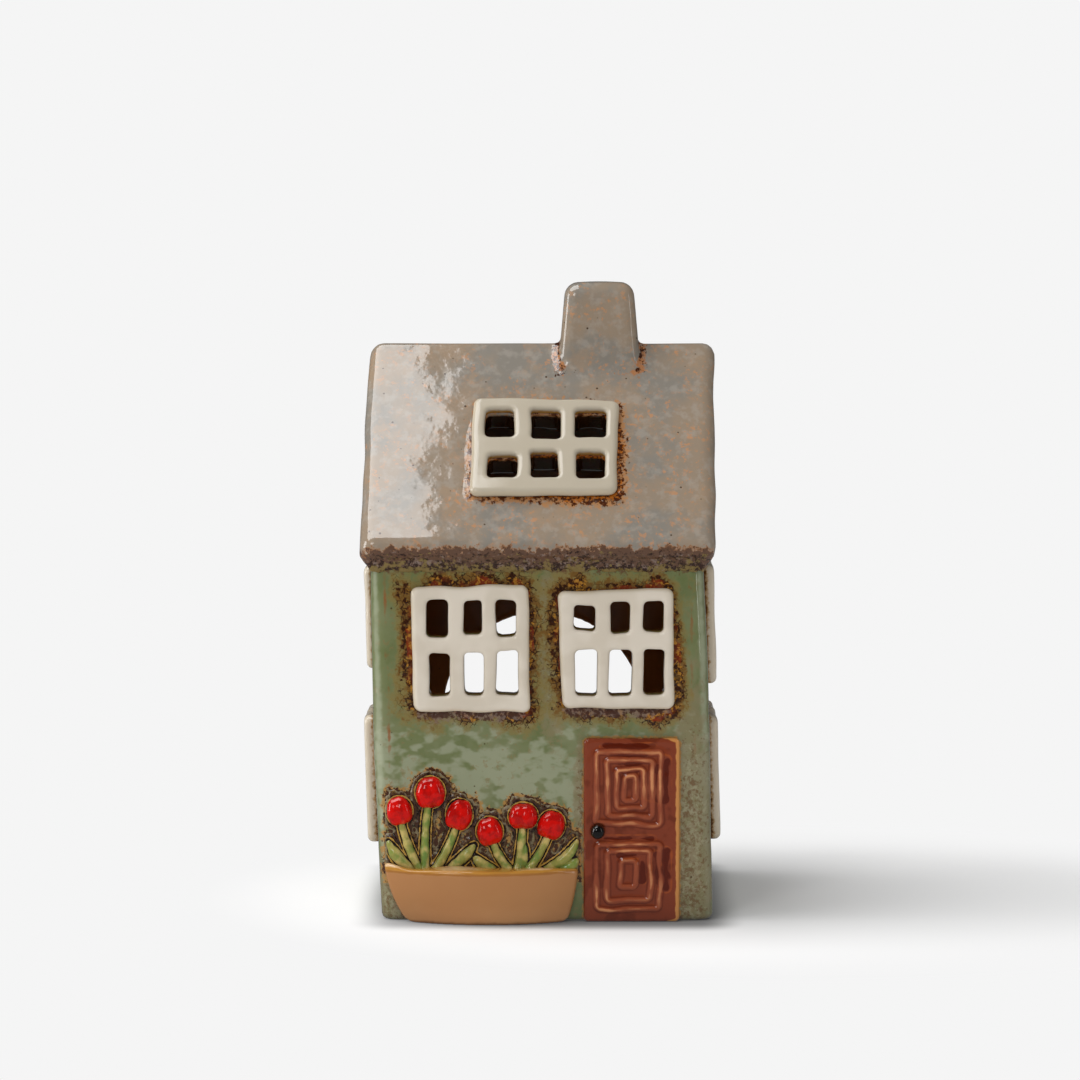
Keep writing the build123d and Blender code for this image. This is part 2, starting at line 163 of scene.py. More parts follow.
@dataclass(frozen=True)
class ClayMesher:
    """Turns a form given by distances into a closed mesh of even squares."""
    step: float
    block: int = 6
    settling: int = 3

    def mesh(self, form: Field, low: tuple, high: tuple) -> tuple[Array, Array]:
        """Meshes a form.

        Args:
            form: gives the distance at each point.
            low: lowest corner of a box that holds the form, in mm.
            high: highest corner of that box.

        Returns:
            The points and the squares.
        """
        start = np.array(low) - 2 * self.step
        counts = np.ceil((np.array(high) - start) / self.step).astype(int) + 3
        blocks = -(-counts // self.block)
        grid = self._sample(form, start, blocks)
        points, squares = self._net(grid)
        return self._settle(form, start + points * self.step), squares

    def _sample(self, form: Field, start: Array, blocks: Array) -> Array:
        """Samples the form finely near its surface and coarsely elsewhere.

        Args:
            form: gives the distance at each point.
            start: lowest corner of the grid.
            blocks: how many blocks it has each way.

        Returns:
            The sampled grid.
        """
        size = self.block
        corners = np.stack(np.meshgrid(*map(np.arange, blocks), indexing="ij"), -1).reshape(-1, 3)
        corners = corners * size
        middles = form(start + (corners + (size - 1) / 2) * self.step)
        near = np.abs(middles) < 1.2 * size * self.step
        values = np.repeat(middles[:, None], size ** 3, axis=1)
        offsets = np.stack(np.meshgrid(*[np.arange(size)] * 3, indexing="ij"), -1).reshape(-1, 3)
        fine = (corners[near][:, None, :] + offsets[None]).reshape(-1, 3)
        values[near] = form(start + fine * self.step).reshape(-1, size ** 3)
        grid = values.reshape(*blocks, size, size, size).transpose(0, 3, 1, 4, 2, 5)
        return grid.reshape(*(blocks * size))

    @staticmethod
    def _net(grid: Array) -> tuple[Array, Array]:
        """Lays a net of squares over the places where the grid changes sign.

        Args:
            grid: sampled distances.

        Returns:
            Points in grid steps, and squares that face outwards.
        """
        inside = grid < 0
        shape = np.array(grid.shape)
        corners = [np.array((i, j, k)) for i in (0, 1) for j in (0, 1) for k in (0, 1)]
        count = sum(inside[i:shape[0] - 1 + i, j:shape[1] - 1 + j, k:shape[2] - 1 + k].astype(np.int8)
                    for i, j, k in corners)
        cells = np.argwhere((count > 0) & (count < 8))
        number = np.full(shape - 1, -1, np.int64)
        number[tuple(cells.T)] = np.arange(len(cells))
        total, hits = np.zeros((len(cells), 3)), np.zeros(len(cells))
        for first in corners:
            for axis in range(3):
                if first[axis]:
                    continue
                way = np.eye(3, dtype=int)[axis]
                here, there = grid[tuple((cells + first).T)], grid[tuple((cells + first + way).T)]
                crossed = (here < 0) != (there < 0)
                share = np.where(crossed, here / np.where(crossed, here - there, 1.0), 0.0)
                total += crossed[:, None] * (first + share[:, None] * way)
                hits += crossed
        squares = []
        for axis in range(3):
            first, second = np.eye(3, dtype=int)[(axis + 1) % 3], np.eye(3, dtype=int)[(axis + 2) % 3]
            turned = np.moveaxis(inside, axis, 0)
            edges = np.argwhere(np.moveaxis(turned[:-1] != turned[1:], 0, axis))
            across = [edges[:, a] for a in range(3) if a != axis]
            limits = [shape[a] - 1 for a in range(3) if a != axis]
            keep = (across[0] > 0) & (across[1] > 0) & (across[0] < limits[0]) & (across[1] < limits[1])
            edges = edges[keep]
            ring = (edges - first - second, edges - second, edges, edges - first)
            faces = np.stack([number[tuple(corner.T)] for corner in ring], axis=1)
            backwards = ~inside[tuple(edges.T)]
            faces[backwards] = faces[backwards][:, ::-1]
            squares.append(faces)
        return cells + total / hits[:, None], np.concatenate(squares)

    @staticmethod
    def turn(form: Field, points: Array, reach: float = 0.3) -> Array:
        """How sharply a form turns at points on it, per mm: above 0 on crests, below 0 in creases."""
        around = sum(form(points + reach * way) + form(points - reach * way) for way in np.eye(3))
        return (around - 6 * form(points)) / reach ** 2

    def _settle(self, form: Field, points: Array) -> Array:
        """Moves the points of a net on to the form's true surface.

        Args:
            form: gives the distance at each point.
            points: places near the surface, in mm.

        Returns:
            The settled points.
        """
        nudge = 0.1 * self.step
        for _ in range(self.settling):
            distance = form(points)
            slope = np.stack([form(points + nudge * way) - form(points - nudge * way)
                              for way in np.eye(3)], axis=1) / (2 * nudge)
            scale = np.clip(distance, -self.step, self.step) / np.maximum((slope ** 2).sum(axis=1), 0.2)
            points = points - scale[:, None] * slope
        return points


def put(name: str, data: ID) -> Object:
    """Puts a new object with that mesh, curve, light or camera into the scene."""
    thing = bpy.data.objects.new(name, data)
    bpy.context.collection.objects.link(thing)
    return thing


def new_piece(name: str, points: Array, faces: Array | list,
              values: dict[str, Array] | None = None) -> Object:
    """Makes a smooth-shaded object from points in mm.

    Args:
        name: the piece's name.
        points: its points, one row each.
        faces: its faces, one row each; a list where they differ in their number of corners.
        values: numbers at each point that its finish reads.

    Returns:
        The object, at the origin.
    """
    low, high = (np.array(corner) / MM for corner in CAD_BOX)
    kept = np.clip(points, low, high)
    mesh = bpy.data.meshes.new(name)
    mesh.from_pydata((kept * MM).tolist(), [], faces if isinstance(faces, list) else faces.tolist())
    mesh.polygons.foreach_set("use_smooth", np.ones(len(mesh.polygons), dtype=bool))
    for key, numbers in (values or {}).items():
        layer = mesh.attributes.new(key, "FLOAT", "POINT")
        layer.data.foreach_set("value", numbers.astype(np.float32))
    mesh.update()
    return put(name, mesh)


# Nodes

MATH, VECTOR = "ShaderNodeMath", "ShaderNodeVectorMath"
NOISE, RANGE = "ShaderNodeTexNoise", "ShaderNodeMapRange"


def linear(colour: str) -> tuple[float, float, float, float]:
    """Turns an sRGB hex colour, such as "#8a9a7c", into the linear numbers that a shader takes."""
    parts = [int(colour[i:i + 2], 16) / 255 for i in (1, 3, 5)]
    return (*[c / 12.92 if c <= 0.04045 else ((c + 0.055) / 1.055) ** 2.4 for c in parts], 1.0)


def add(tree: NodeTree, kind: str, links: dict | None = None, **settings: object) -> Node:
    """Adds a node with its settings and links.

    Args:
        tree: the tree that it joins.
        kind: its type.
        links: for each input, the node or socket that feeds it, or its value.
        settings: its other settings.

    Returns:
        The node.
    """
    node = tree.nodes.new(kind)
    for key, value in settings.items():
        setattr(node, key, value)
    for key, value in (links or {}).items():
        source = value.outputs[0] if isinstance(value, Node) else value
        if isinstance(source, NodeSocket):
            tree.links.new(source, node.inputs[key])
        else:
            node.inputs[key].default_value = source
    return node


def chain(tree: NodeTree, kind: str, value: object, *steps: tuple) -> Node:
    """Passes a value through a row of operations.

    Args:
        tree: the tree.
        kind: the type of the nodes, MATH or VECTOR.
        value: the node or socket that it starts from.
        steps: each operation, with its other operand where it has one.

    Returns:
        The last node.
    """
    for operation, *others in steps:
        value = add(tree, kind, dict(enumerate((value, *others))), operation=operation)
    return value


def new_tree(name: str, inputs: dict[str, str]) -> tuple[NodeTree, NodeSocketCollection]:
    """Starts a Geometry Nodes tree that takes a geometry and named sizes.

    Args:
        name: the tree's name.
        inputs: the kind of each named input.

    Returns:
        The tree and the sockets of its inputs.
    """
    tree = bpy.data.node_groups.new(name, "GeometryNodeTree")
    tree.interface.new_socket("Geometry", in_out="INPUT", socket_type="NodeSocketGeometry")
    for key, kind in inputs.items():
        tree.interface.new_socket(key, in_out="INPUT", socket_type="NodeSocket" + kind)
    tree.interface.new_socket("Geometry", in_out="OUTPUT", socket_type="NodeSocketGeometry")
    return tree, add(tree, "NodeGroupInput").outputs


def close_tree(tree: NodeTree, shape: Node, finish: NodeSocket) -> None:
    """Ends a Geometry Nodes tree with real geometry that wears its finish.

    Args:
        tree: the tree.
        shape: the node that gives the geometry.
        finish: the material.
    """
    real = add(tree, "GeometryNodeRealizeInstances", {0: shape})
    worn = add(tree, "GeometryNodeSetMaterial", {"Geometry": real, "Material": finish})
    add(tree, "NodeGroupOutput", {0: worn})


def grow(name: str, source: Object, tree: NodeTree, values: dict) -> Object:
    """Runs a Geometry Nodes tree on an object and keeps the result as a plain mesh.

    Args:
        name: the new piece's name.
        source: the object that the tree starts from; it is removed.
        tree: the tree.
        values: the value of each named input.

    Returns:
        The new object, at the origin.
    """
    modifier = source.modifiers.new("grow", "NODES")
    modifier.node_group = tree
    for item in tree.interface.items_tree:
        if item.in_out == "INPUT" and item.name in values:
            modifier[item.identifier] = values[item.name]
    shaped = source.evaluated_get(bpy.context.evaluated_depsgraph_get())
    mesh = bpy.data.meshes.new_from_object(shaped)
    mesh.name = name
    piece = put(name, mesh)
    source.modifiers.remove(modifier)
    bpy.data.objects.remove(source)
    return piece


def dress(piece: Object, finish: "Finish", body: str, slot: str, *nodes: str) -> None:
    """Gives a piece its finish, the body that it rides on and the CAD nodes that it stands for.

    Args:
        piece: the piece.
        finish: its finish.
        body: the body.
        slot: the slot of that finish; not used.
        nodes: the CAD nodes.
    """
    piece.data.materials.clear()
    piece.data.materials.append(finish.material())
    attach(piece, body)
    if nodes:
        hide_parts(*nodes)
    LOG.info("%s: %d faces, for %s", piece.name, len(piece.data.polygons), ", ".join(nodes) or "no node")


# Finishes

class Pattern(Enum):
    """How a coat of glaze is broken up."""
    CLOUD = "cloud"
    SPOTS = "spots"
    CRACKS = "cracks"


@dataclass(frozen=True)
class Coat:
    """One colour in a glaze, full at one value of what it follows and gone at another."""
    colour: str
    full: float
    gone: float
    strength: float = 1.0
    follows: str = ""
    grain: float = 2.0
    ragged: float = 0.0
    detail: float = 3.0
    rough: float = 0.5
    around: float = 0.0
    pattern: Pattern = Pattern.CLOUD
    share: float = 1.0
    patches: float = 0.0
    seed: float = 0.0
    stretch: tuple = (1.0, 1.0, 1.0)
    bend: float = 1.2

    def mask(self, tree: NodeTree, place: Node) -> Node:
        """Where the coat lies.

        Args:
            tree: the material's tree.
            place: gives the place on the piece, in mm.

        Returns:
            The node that gives the coat's share.
        """
        spot = chain(tree, VECTOR, place, ("MULTIPLY", self.stretch))
        if self.pattern is Pattern.SPOTS:
            cells = add(tree, "ShaderNodeTexVoronoi", {"Vector": spot, "Scale": 1 / self.grain})
            lack = add(tree, RANGE, {
                "Value": add(tree, "ShaderNodeSeparateXYZ", {0: cells.outputs["Color"]}),
                "From Min": 1 - self.share, "From Max": 1.0, "To Min": 2 * self.full, "To Max": 0.0})
            value = chain(tree, MATH, cells.outputs["Distance"], ("ADD", lack))
        else:
            noise = value = add(tree, NOISE, {
                "Vector": spot, "Scale": 1 / self.grain, "Detail": self.detail, "Roughness": self.rough,
                "W": self.seed}, noise_dimensions="4D")
            if self.pattern is Pattern.CRACKS:
                bent = chain(tree, VECTOR, noise.outputs["Color"],
                             ("MULTIPLY_ADD", (self.bend * self.grain,) * 3, spot))
                value = add(tree, "ShaderNodeTexVoronoi", {"Vector": bent, "Scale": 1 / self.grain},
                            feature="DISTANCE_TO_EDGE").outputs["Distance"]
            if self.follows:
                followed = add(tree, "ShaderNodeAttribute", attribute_name=self.follows).outputs["Fac"]
                if self.around:
                    followed = chain(tree, MATH, followed, ("SUBTRACT", self.around), ("ABSOLUTE",))
                value = chain(tree, MATH, value, ("SUBTRACT", 0.5),
                              ("MULTIPLY_ADD", 2 * self.ragged, followed))
        laid = add(tree, RANGE, {
            "Value": value, "From Min": self.full, "From Max": self.gone,
            "To Min": self.strength, "To Max": 0.0}, interpolation_type="SMOOTHSTEP")
        if not self.patches:
            return laid
        cloud = add(tree, NOISE, {"Vector": place, "Scale": 1 / self.patches, "Detail": 1.0,
                                  "W": self.seed + 5.0}, noise_dimensions="4D")
        patch = add(tree, RANGE, {"Value": cloud, "From Min": 0.42, "From Max": 0.58})
        return chain(tree, MATH, laid, ("MULTIPLY", patch))


@dataclass(frozen=True)
class Relief:
    """A fine unevenness of a surface: its grain and depth in mm, and what it follows, full and gone."""
    grain: float
    depth: float
    follows: str = ""
    full: float = 0.0
    gone: float = 1.0
    detail: float = 2.0
    stretch: tuple = (1.0, 1.0, 1.0)


@dataclass(frozen=True)
class Finish:
    """A surface finish: its ground colour, the coats over it, its gloss and its fine relief."""
    name: str
    ground: str
    coats: tuple = ()
    reliefs: tuple = ()
    gloss: tuple = (0.10, 0.16)
    gloss_grain: float = 6.0
    ior: float = 1.62
    metallic: float = 0.0
    subsurface: float = 0.0
    subsurface_reach: float = 1.0

    def material(self) -> Material:
        """The material, made on its first use."""
        return bpy.data.materials.get(self.name) or self._make()

    def _make(self) -> Material:
        """Builds the material's nodes.

        Returns:
            The material.
        """
        made = bpy.data.materials.new(self.name)
        made.use_nodes = True
        tree = made.node_tree
        tree.nodes.clear()
        place = chain(tree, VECTOR, add(tree, "ShaderNodeTexCoord").outputs["Object"],
                      ("MULTIPLY", (1 / MM,) * 3))
        colour = linear(self.ground)
        for coat in self.coats:
            colour = add(tree, "ShaderNodeMix", {
                0: coat.mask(tree, place), 6: colour, 7: linear(coat.colour)}, data_type="RGBA").outputs[2]
        cloud = add(tree, NOISE, {"Vector": place, "Scale": 1 / self.gloss_grain, "Detail": 3.0})
        gloss = add(tree, RANGE, {"Value": cloud, "From Min": 0.3, "From Max": 0.7,
                                  "To Min": self.gloss[0], "To Max": self.gloss[1]})
        shader = add(tree, "ShaderNodeBsdfPrincipled", {
            "Base Color": colour, "Roughness": gloss, "Metallic": self.metallic, "IOR": self.ior,
            "Subsurface Weight": self.subsurface, "Subsurface Scale": self.subsurface_reach * MM})
        add(tree, "ShaderNodeOutputMaterial", {"Surface": shader})
        normal = None
        for relief in self.reliefs:
            height = add(tree, NOISE, {"Vector": chain(tree, VECTOR, place, ("MULTIPLY", relief.stretch)),
                                       "Scale": 1 / relief.grain, "Detail": relief.detail})
            if relief.follows:
                followed = add(tree, "ShaderNodeAttribute", attribute_name=relief.follows).outputs["Fac"]
                share = add(tree, RANGE, {"Value": followed, "From Min": relief.full, "From Max": relief.gone,
                                          "To Min": 1.0, "To Max": 0.0})
                height = chain(tree, MATH, height, ("MULTIPLY", share))
            bump = add(tree, "ShaderNodeBump", {
                "Height": height, "Distance": relief.depth * MM, "Strength": 1.0})
            if normal:
                tree.links.new(normal, bump.inputs["Normal"])
            normal = bump.outputs[0]
        if normal:
            tree.links.new(normal, shader.inputs["Normal"])
        return made


# A coat's row: its colour, where it is full and where gone, its strength, what it follows, its grain in mm,
# how ragged its edge is, and the detail and roughness of the noise that breaks it up. A relief's row: its
# grain and depth in mm, what it follows, where it is full and where gone, and the detail of its noise

# Celadon glaze on slab-built stoneware, dipped and fired glossy: grey green, burnt to rust at edges
CELADON = Finish(
    "celadon_glaze_dipped", "#687049",
    coats=(
        Coat("#777b5b", 0.62, 0.38, 0.7, grain=13.0, detail=4.0),
        Coat("#59643a", 0.66, 0.48, 0.5, grain=6.0, detail=4.0, seed=3.0),
        # Painted reflection of the lit table: a pale band across the front wall around 37 mm up, fading away
        # from the front wall
        Coat("#93977e", -0.8, 0.7, 0.7, "table_reflection", 3.4, 4.6, 2.0, stretch=(0.85, 1.0, 1.25), seed=21.0),
        Coat("#7f6a47", 0.62, 0.55, 0.5, grain=1.5, detail=5.0, rough=0.65, patches=14.0, seed=7.0),
        # Painted highlight: a pale strip along the rounded corners of the walls
        Coat("#a5aa92", 1.0, 2.2, 0.5, "corner", 3.0, 0.9, 3.0),
        Coat("#86502c", 0.1, 0.45, 0.8, "seam", 2.0, 0.9, patches=9.0),
        Coat("#807457", 0.1, 0.7, 0.7, "stain", 2.6, 1.4, 6.0, 0.72, seed=11.0),
        Coat("#64492e", -0.9, -0.3, 0.8, "stain", 1.2, 3.4, 6.0, 0.72, seed=12.0),
        Coat("#a4a184", -0.9, -0.4, 0.35, "stain", 1.3, 2.6, 5.0, 0.7, seed=16.0),
        Coat("#7d6d3e", 2.6, 5.4, 0.8, "halo", 3.0, 7.5, 6.0, 0.74, seed=2.0),
        Coat("#6d4c20", 1.5, 3.2, 0.9, "halo", 1.8, 7.5, 6.0, 0.75, seed=6.0),
        Coat("#371a08", 0.7, 1.5, 1.0, "halo", 1.6, 8.5, 6.0, 0.72, seed=5.0),
        Coat("#2a1206", -13.2, -12.4, 0.9, "halo", 1.7, 16.7, pattern=Pattern.CRACKS, patches=5.0, seed=5.0),
        Coat("#7c2d10", 0.5, 1.0, 0.85, "halo", 3.0, 1.6, patches=8.0, seed=3.0),
        Coat("#b9822f", -0.5, 0.3, 0.7, "halo", 1.1, 7.5, 5.0, 0.7, seed=8.0),
        Coat("#7c6a60", 0.85, 0.5, 0.65, "under", 1.8, 1.3, 5.0, 0.65),
        # Darker band just under each plate's lower edge
        Coat("#3f2318", 0.95, 0.72, 0.9, "under", 1.2, 1.9, 6.0, 0.72, seed=5.0),
        Coat("#a5773a", 0.5, 1.1, 0.8, "bed", 1.5, 3.6, 6.0, 0.7, seed=9.0),
        Coat("#402413", 0.1, 0.5, 1.0, "bed", 1.5, 3.6, 6.0, 0.7, seed=10.0),
        Coat("#a9783c", 0.2, 0.5, 0.8, "door", 1.2, 0.7, 3.0, 0.65),
        Coat("#5f4430", 0.95, 0.5, 0.9, "top", 1.4, 1.9, 6.0, 0.72),
        Coat("#936632", 2.2, 1.2, 1.0, "depth", 2.0, 0.5),
        Coat("#9a6434", 4.4, 2.6, 1.0, "depth", 3.0, 0.8),
        Coat("#3a2212", 0.08, 0.14, 0.8, pattern=Pattern.SPOTS, grain=2.6, share=0.25),
    ),
    reliefs=(Relief(5.5, 0.05), Relief(1.8, 0.003),
             Relief(1.5, 0.26, "halo", 0.3, 5.0),
             Relief(1.3, 0.12, "bed", 0.0, 3.0),
             Relief(1.3, 0.05, "stain", -0.6, 0.4, 3.0)),
    gloss=(0.05, 0.10))

# Warm grey glaze, poured on the roof and fired glossy, with iron pinholes and burnt lower edges
TAUPE = Finish(
    "taupe_glaze_poured", "#8f7f6d",
    coats=(
        Coat("#7b7973", 0.58, 0.42, 0.75, grain=16.0, detail=4.0),
        Coat("#9e856b", 0.64, 0.50, 0.5, grain=8.0, detail=6.0, rough=0.65, seed=2.0),
        Coat("#a29b91", 0.66, 0.46, 0.4, grain=2.8, detail=4.0, rough=0.6, seed=31.0),
        Coat("#bb8458", 0.62, 0.54, 0.65, grain=1.4, detail=5.0, rough=0.7, patches=9.0, seed=6.0),
        Coat("#5a371d", 5.0, 2.8, 1.0, "depth", 3.0, 0.6),
        Coat("#b07a48", 1.8, 3.2, 0.8, "halo", 1.8, 6.5, 6.0, 0.72, seed=1.0),
        Coat("#4a220b", 1.1, 1.9, 1.0, "halo", 1.5, 7.0, 6.0, 0.72, seed=1.5),
        Coat("#b5661f", -0.1, 0.5, 0.9, "halo", 0.9, 6.0, 3.0, 0.7, seed=9.0),
        Coat("#a86a38", 1.0, 1.9, 0.8, "foot", 1.6, 5.0, 6.0, 0.72),
        Coat("#3c1d0c", 0.9, 1.5, 1.0, "foot", 1.4, 5.0, 6.0, 0.72, seed=2.0),
        Coat("#a06a3e", 1.1, 1.6, 0.8, "eave", 1.6, 3.4, 6.0, 0.7),
        Coat("#5b4233", 0.9, 1.3, 1.0, "eave", 1.6, 3.4, 6.0, 0.7),
        Coat("#84736a", -1.3, 0.0, 0.8, "eave", 2.2, 4.6, 6.0, 0.72, seed=8.0),
        Coat("#2e1a10", -0.5, 0.1, 1.0, "eave", 1.2, 4.8, 6.0, 0.75, seed=12.0),
        Coat("#7d6a3c", -1.0, -0.3, 0.8, "eave", 1.8, 4.0, 5.0, 0.7, seed=15.0),
        # Painted shade: the walls of the roof window's panes turn near black deeper in
        Coat("#241206", 1.4, 0.5, 1.0, "pit", 2.0, 0.6),
        Coat("#33190a", 0.10, 0.16, 0.85, pattern=Pattern.SPOTS, grain=2.6, share=0.85),
    ),
    reliefs=(Relief(11.0, 0.05), Relief(3.4, 0.032), Relief(1.0, 0.001),
             Relief(1.1, 0.12, "halo", 0.0, 3.0, 3.0),
             Relief(1.2, 0.09, "foot", 0.5, 3.0, 3.0),
             Relief(1.3, 0.24, "eave", 0.5, 2.4, 4.0)),
    gloss=(0.04, 0.08))

# Ivory glaze on the window plates, brushed thick and fired to a soft gloss
IVORY = Finish(
    "ivory_glaze_brushed", "#d0c6b7",
    coats=(
        Coat("#c4b9a8", 0.62, 0.42, 0.7, grain=9.0, detail=2.0),
        # Painted shade: the roof's plate is painted a darker ivory than the wall plates
        Coat("#b1a795", 1.0, 0.0, 1.0, "painted_shade"),
        Coat("#c2b296", 0.2, 0.9, 0.5, "edge", 3.0, 0.5, 1.0),
        Coat("#9a7440", 0.96, 0.74, 0.9, "low", 1.6, 0.5, 5.0, 0.7),
        Coat("#52300f", 1.06, 0.92, 1.0, "low", 1.6, 0.5, 5.0, 0.7),
        # Golden brown where the glaze thins at the panes' cut edges, and painted shade darkening deeper into
        # each pane
        Coat("#a0722f", 0.70, 0.30, 1.0, "pane_depth", 1.4, 0.25, 3.0, 0.65),
        Coat("#6d4218", 1.05, 0.85, 1.0, "pane_depth", 1.4, 0.25, 3.0, 0.65),
    ),
    reliefs=(Relief(6.0, 0.05), Relief(2.0, 0.004)),
    gloss=(0.08, 0.16), ior=1.5)

# Chestnut glaze pooled dark between the frames of the pressed door, thin and orange on their crests
CHESTNUT = Finish(
    "chestnut_glaze_pooled", "#78351f",
    coats=(
        Coat("#5e2410", 0.60, 0.52, 0.7, grain=6.0, detail=2.0),
        Coat("#a04c1c", 0.05, 0.4, 0.5, "pool", 3.0, 0.8, around=1.4, patches=4.0, seed=7.0),
        Coat("#501402", 0.6, 1.1, 0.95, "pool", 4.0, 2.2, 1.0, seed=4.0),
        # Partly glaze pooled along the frames' flanks, partly painted shade beside each raised frame
        Coat("#571f10", 0.05, 0.22, 0.6, "crest", 4.0, 0.2, around=0.28, seed=3.0),
        Coat("#90492f", 0.80, 0.30, 0.75, "crest", 7.0, 0.8, 2.0),
        # Painted highlight: a bright copper line on each frame's crest, over the thin glaze there
        Coat("#c9875a", 1.02, 0.74, 0.85, "crest", 4.0, 0.5, patches=7.0),
        # Thin glaze on the door's rounded edge, painted as a highlight that is left out towards the right end
        Coat("#c98b4c", 0.10, 0.45, 0.85, "edge", 2.0, 0.5),
    ),
    reliefs=(Relief(5.0, 0.03), Relief(1.8, 0.006)),
    gloss=(0.06, 0.10), ior=1.55)

# Black glaze, fired to a mirror gloss on a rolled ball of clay
JET = Finish("jet_glaze_dipped", "#060505", reliefs=(Relief(1.5, 0.01),), gloss=(0.02, 0.05))

# Caramel glaze, sprayed even over the trough and thin along its rim
CARAMEL = Finish(
    "caramel_glaze_sprayed", "#b38054",
    coats=(
        Coat("#b68659", 0.62, 0.44, 0.6, grain=12.0),
        Coat("#a07045", 6.0, 0.5, 0.6, "up", 8.0, 2.0),
        Coat("#b07c34", 13.6, 12.6, 1.0, "up", 4.0, 0.5),
        Coat("#8f5a20", 0.1, 0.45, 0.6, "up", 3.0, 0.4, around=13.0),
        # Painted highlight along the top of the rim
        Coat("#d3b48a", 14.3, 13.9, 0.7, "up", 5.0, 0.5, seed=4.0),
        Coat("#5f3a1c", 0.1, 1.0, 0.6, "up", 2.0, 0.5),
    ),
    reliefs=(Relief(4.0, 0.02), Relief(0.9, 0.002)),
    gloss=(0.06, 0.12), ior=1.5)

# Poppy red glaze, brushed on each bloom and pale where it thins on the petals' edges
POPPY = Finish(
    "poppy_glaze_brushed", "#c40e08",
    coats=(
        Coat("#930b09", 0.60, 0.45, 0.7, grain=2.0),
        Coat("#cf4633", 0.45, 0.10, 0.5, "crest", 1.0, 0.2),
        Coat("#b9a878", 0.1, 0.45, 0.8, "rise", 1.4, 0.5, patches=5.0),
        Coat("#6a3a14", -0.05, 0.25, 1.0, "rise", 1.0, 0.3),
    ),
    reliefs=(Relief(2.6, 0.02),),
    gloss=(0.03, 0.07), ior=1.5)

# Moss and straw glazes, run together on the stems and leaves
MOSS = Finish(
    "moss_glaze_brushed", "#8c8a45",
    coats=(
        Coat("#55813a", 0.62, 0.42, 0.7, grain=4.0, seed=2.0),
        Coat("#c9b26e", 0.62, 0.44, 0.8, grain=3.2, seed=6.0),
        Coat("#8a5a1a", 0.15, 0.6, 1.0, "rise", 1.2, 0.4),
    ),
    reliefs=(Relief(1.4, 0.012),),
    gloss=(0.05, 0.1))

# Umber slip, dabbed rough round the tulips and glazed over, dark in its pits and gold on its crumbs
UMBER = Finish(
    "umber_slip_dabbed", "#40281b",
    coats=(
        Coat("#5e463a", 0.62, 0.52, 0.6, grain=2.4, detail=5.0, rough=0.65, seed=4.0),
        Coat("#8a642a", 0.60, 0.55, 0.8, grain=1.2, detail=5.0, rough=0.7, patches=6.0, seed=14.0),
        Coat("#1c0e07", -1.2, 0.3, 1.0, "turn", 1.5, 0.5),
        Coat("#8a6a30", 0.08, 0.3, 0.9, "near", 1.3, 1.1, 5.0, 0.7, around=1.8, patches=3.5, seed=6.0),
        Coat("#1a0c06", 0.5, 0.9, 1.0, "near", 1.4, 0.5),
        Coat("#b48c3c", 0.05, 0.2, 0.95, "near", 1.2, 0.35, 3.0, 0.65, around=0.4),
        Coat("#84795c", 0.0, 0.7, 0.8, "edge", 1.4, 1.8, 6.0, 0.75),
    ),
    reliefs=(Relief(1.2, 0.05),),
    gloss=(0.16, 0.26), ior=1.5)

# Aluminium sheet, pressed into a tealight cup
ALUMINIUM = Finish(
    "aluminium_pressed", "#d9dadc", coats=(Coat("#c4c6c9", 0.6, 0.4, grain=3.0),),
    reliefs=(Relief(1.2, 0.006, stretch=(1.0, 1.0, 0.1)),), gloss=(0.22, 0.34), metallic=1.0)

# Paraffin wax, poured and set, satin
PARAFFIN = Finish(
    "paraffin_wax_poured", "#f1ede4", coats=(Coat("#e6e0d2", 0.62, 0.4, grain=6.0),),
    reliefs=(Relief(3.0, 0.03), Relief(0.6, 0.004)), gloss=(0.28, 0.4), ior=1.44,
    subsurface=0.4, subsurface_reach=2.0)

# Cotton, braided and dipped in wax
COTTON = Finish(
    "cotton_braided", "#e9e3d3", coats=(Coat("#cfc6b0", 0.6, 0.4, grain=0.5),),
    reliefs=(Relief(0.25, 0.03, stretch=(1.0, 1.0, 0.5)),), gloss=(0.6, 0.8))

# Tin-plated steel, stamped into the wick's foot
TINPLATE = Finish(
    "tinplate_stamped", "#b9bcc0", coats=(Coat("#9fa3a8", 0.6, 0.4, grain=2.0),),
    reliefs=(Relief(0.8, 0.005),), gloss=(0.25, 0.4), metallic=1.0)


# Sizes of the house, in mm, as the solids have them

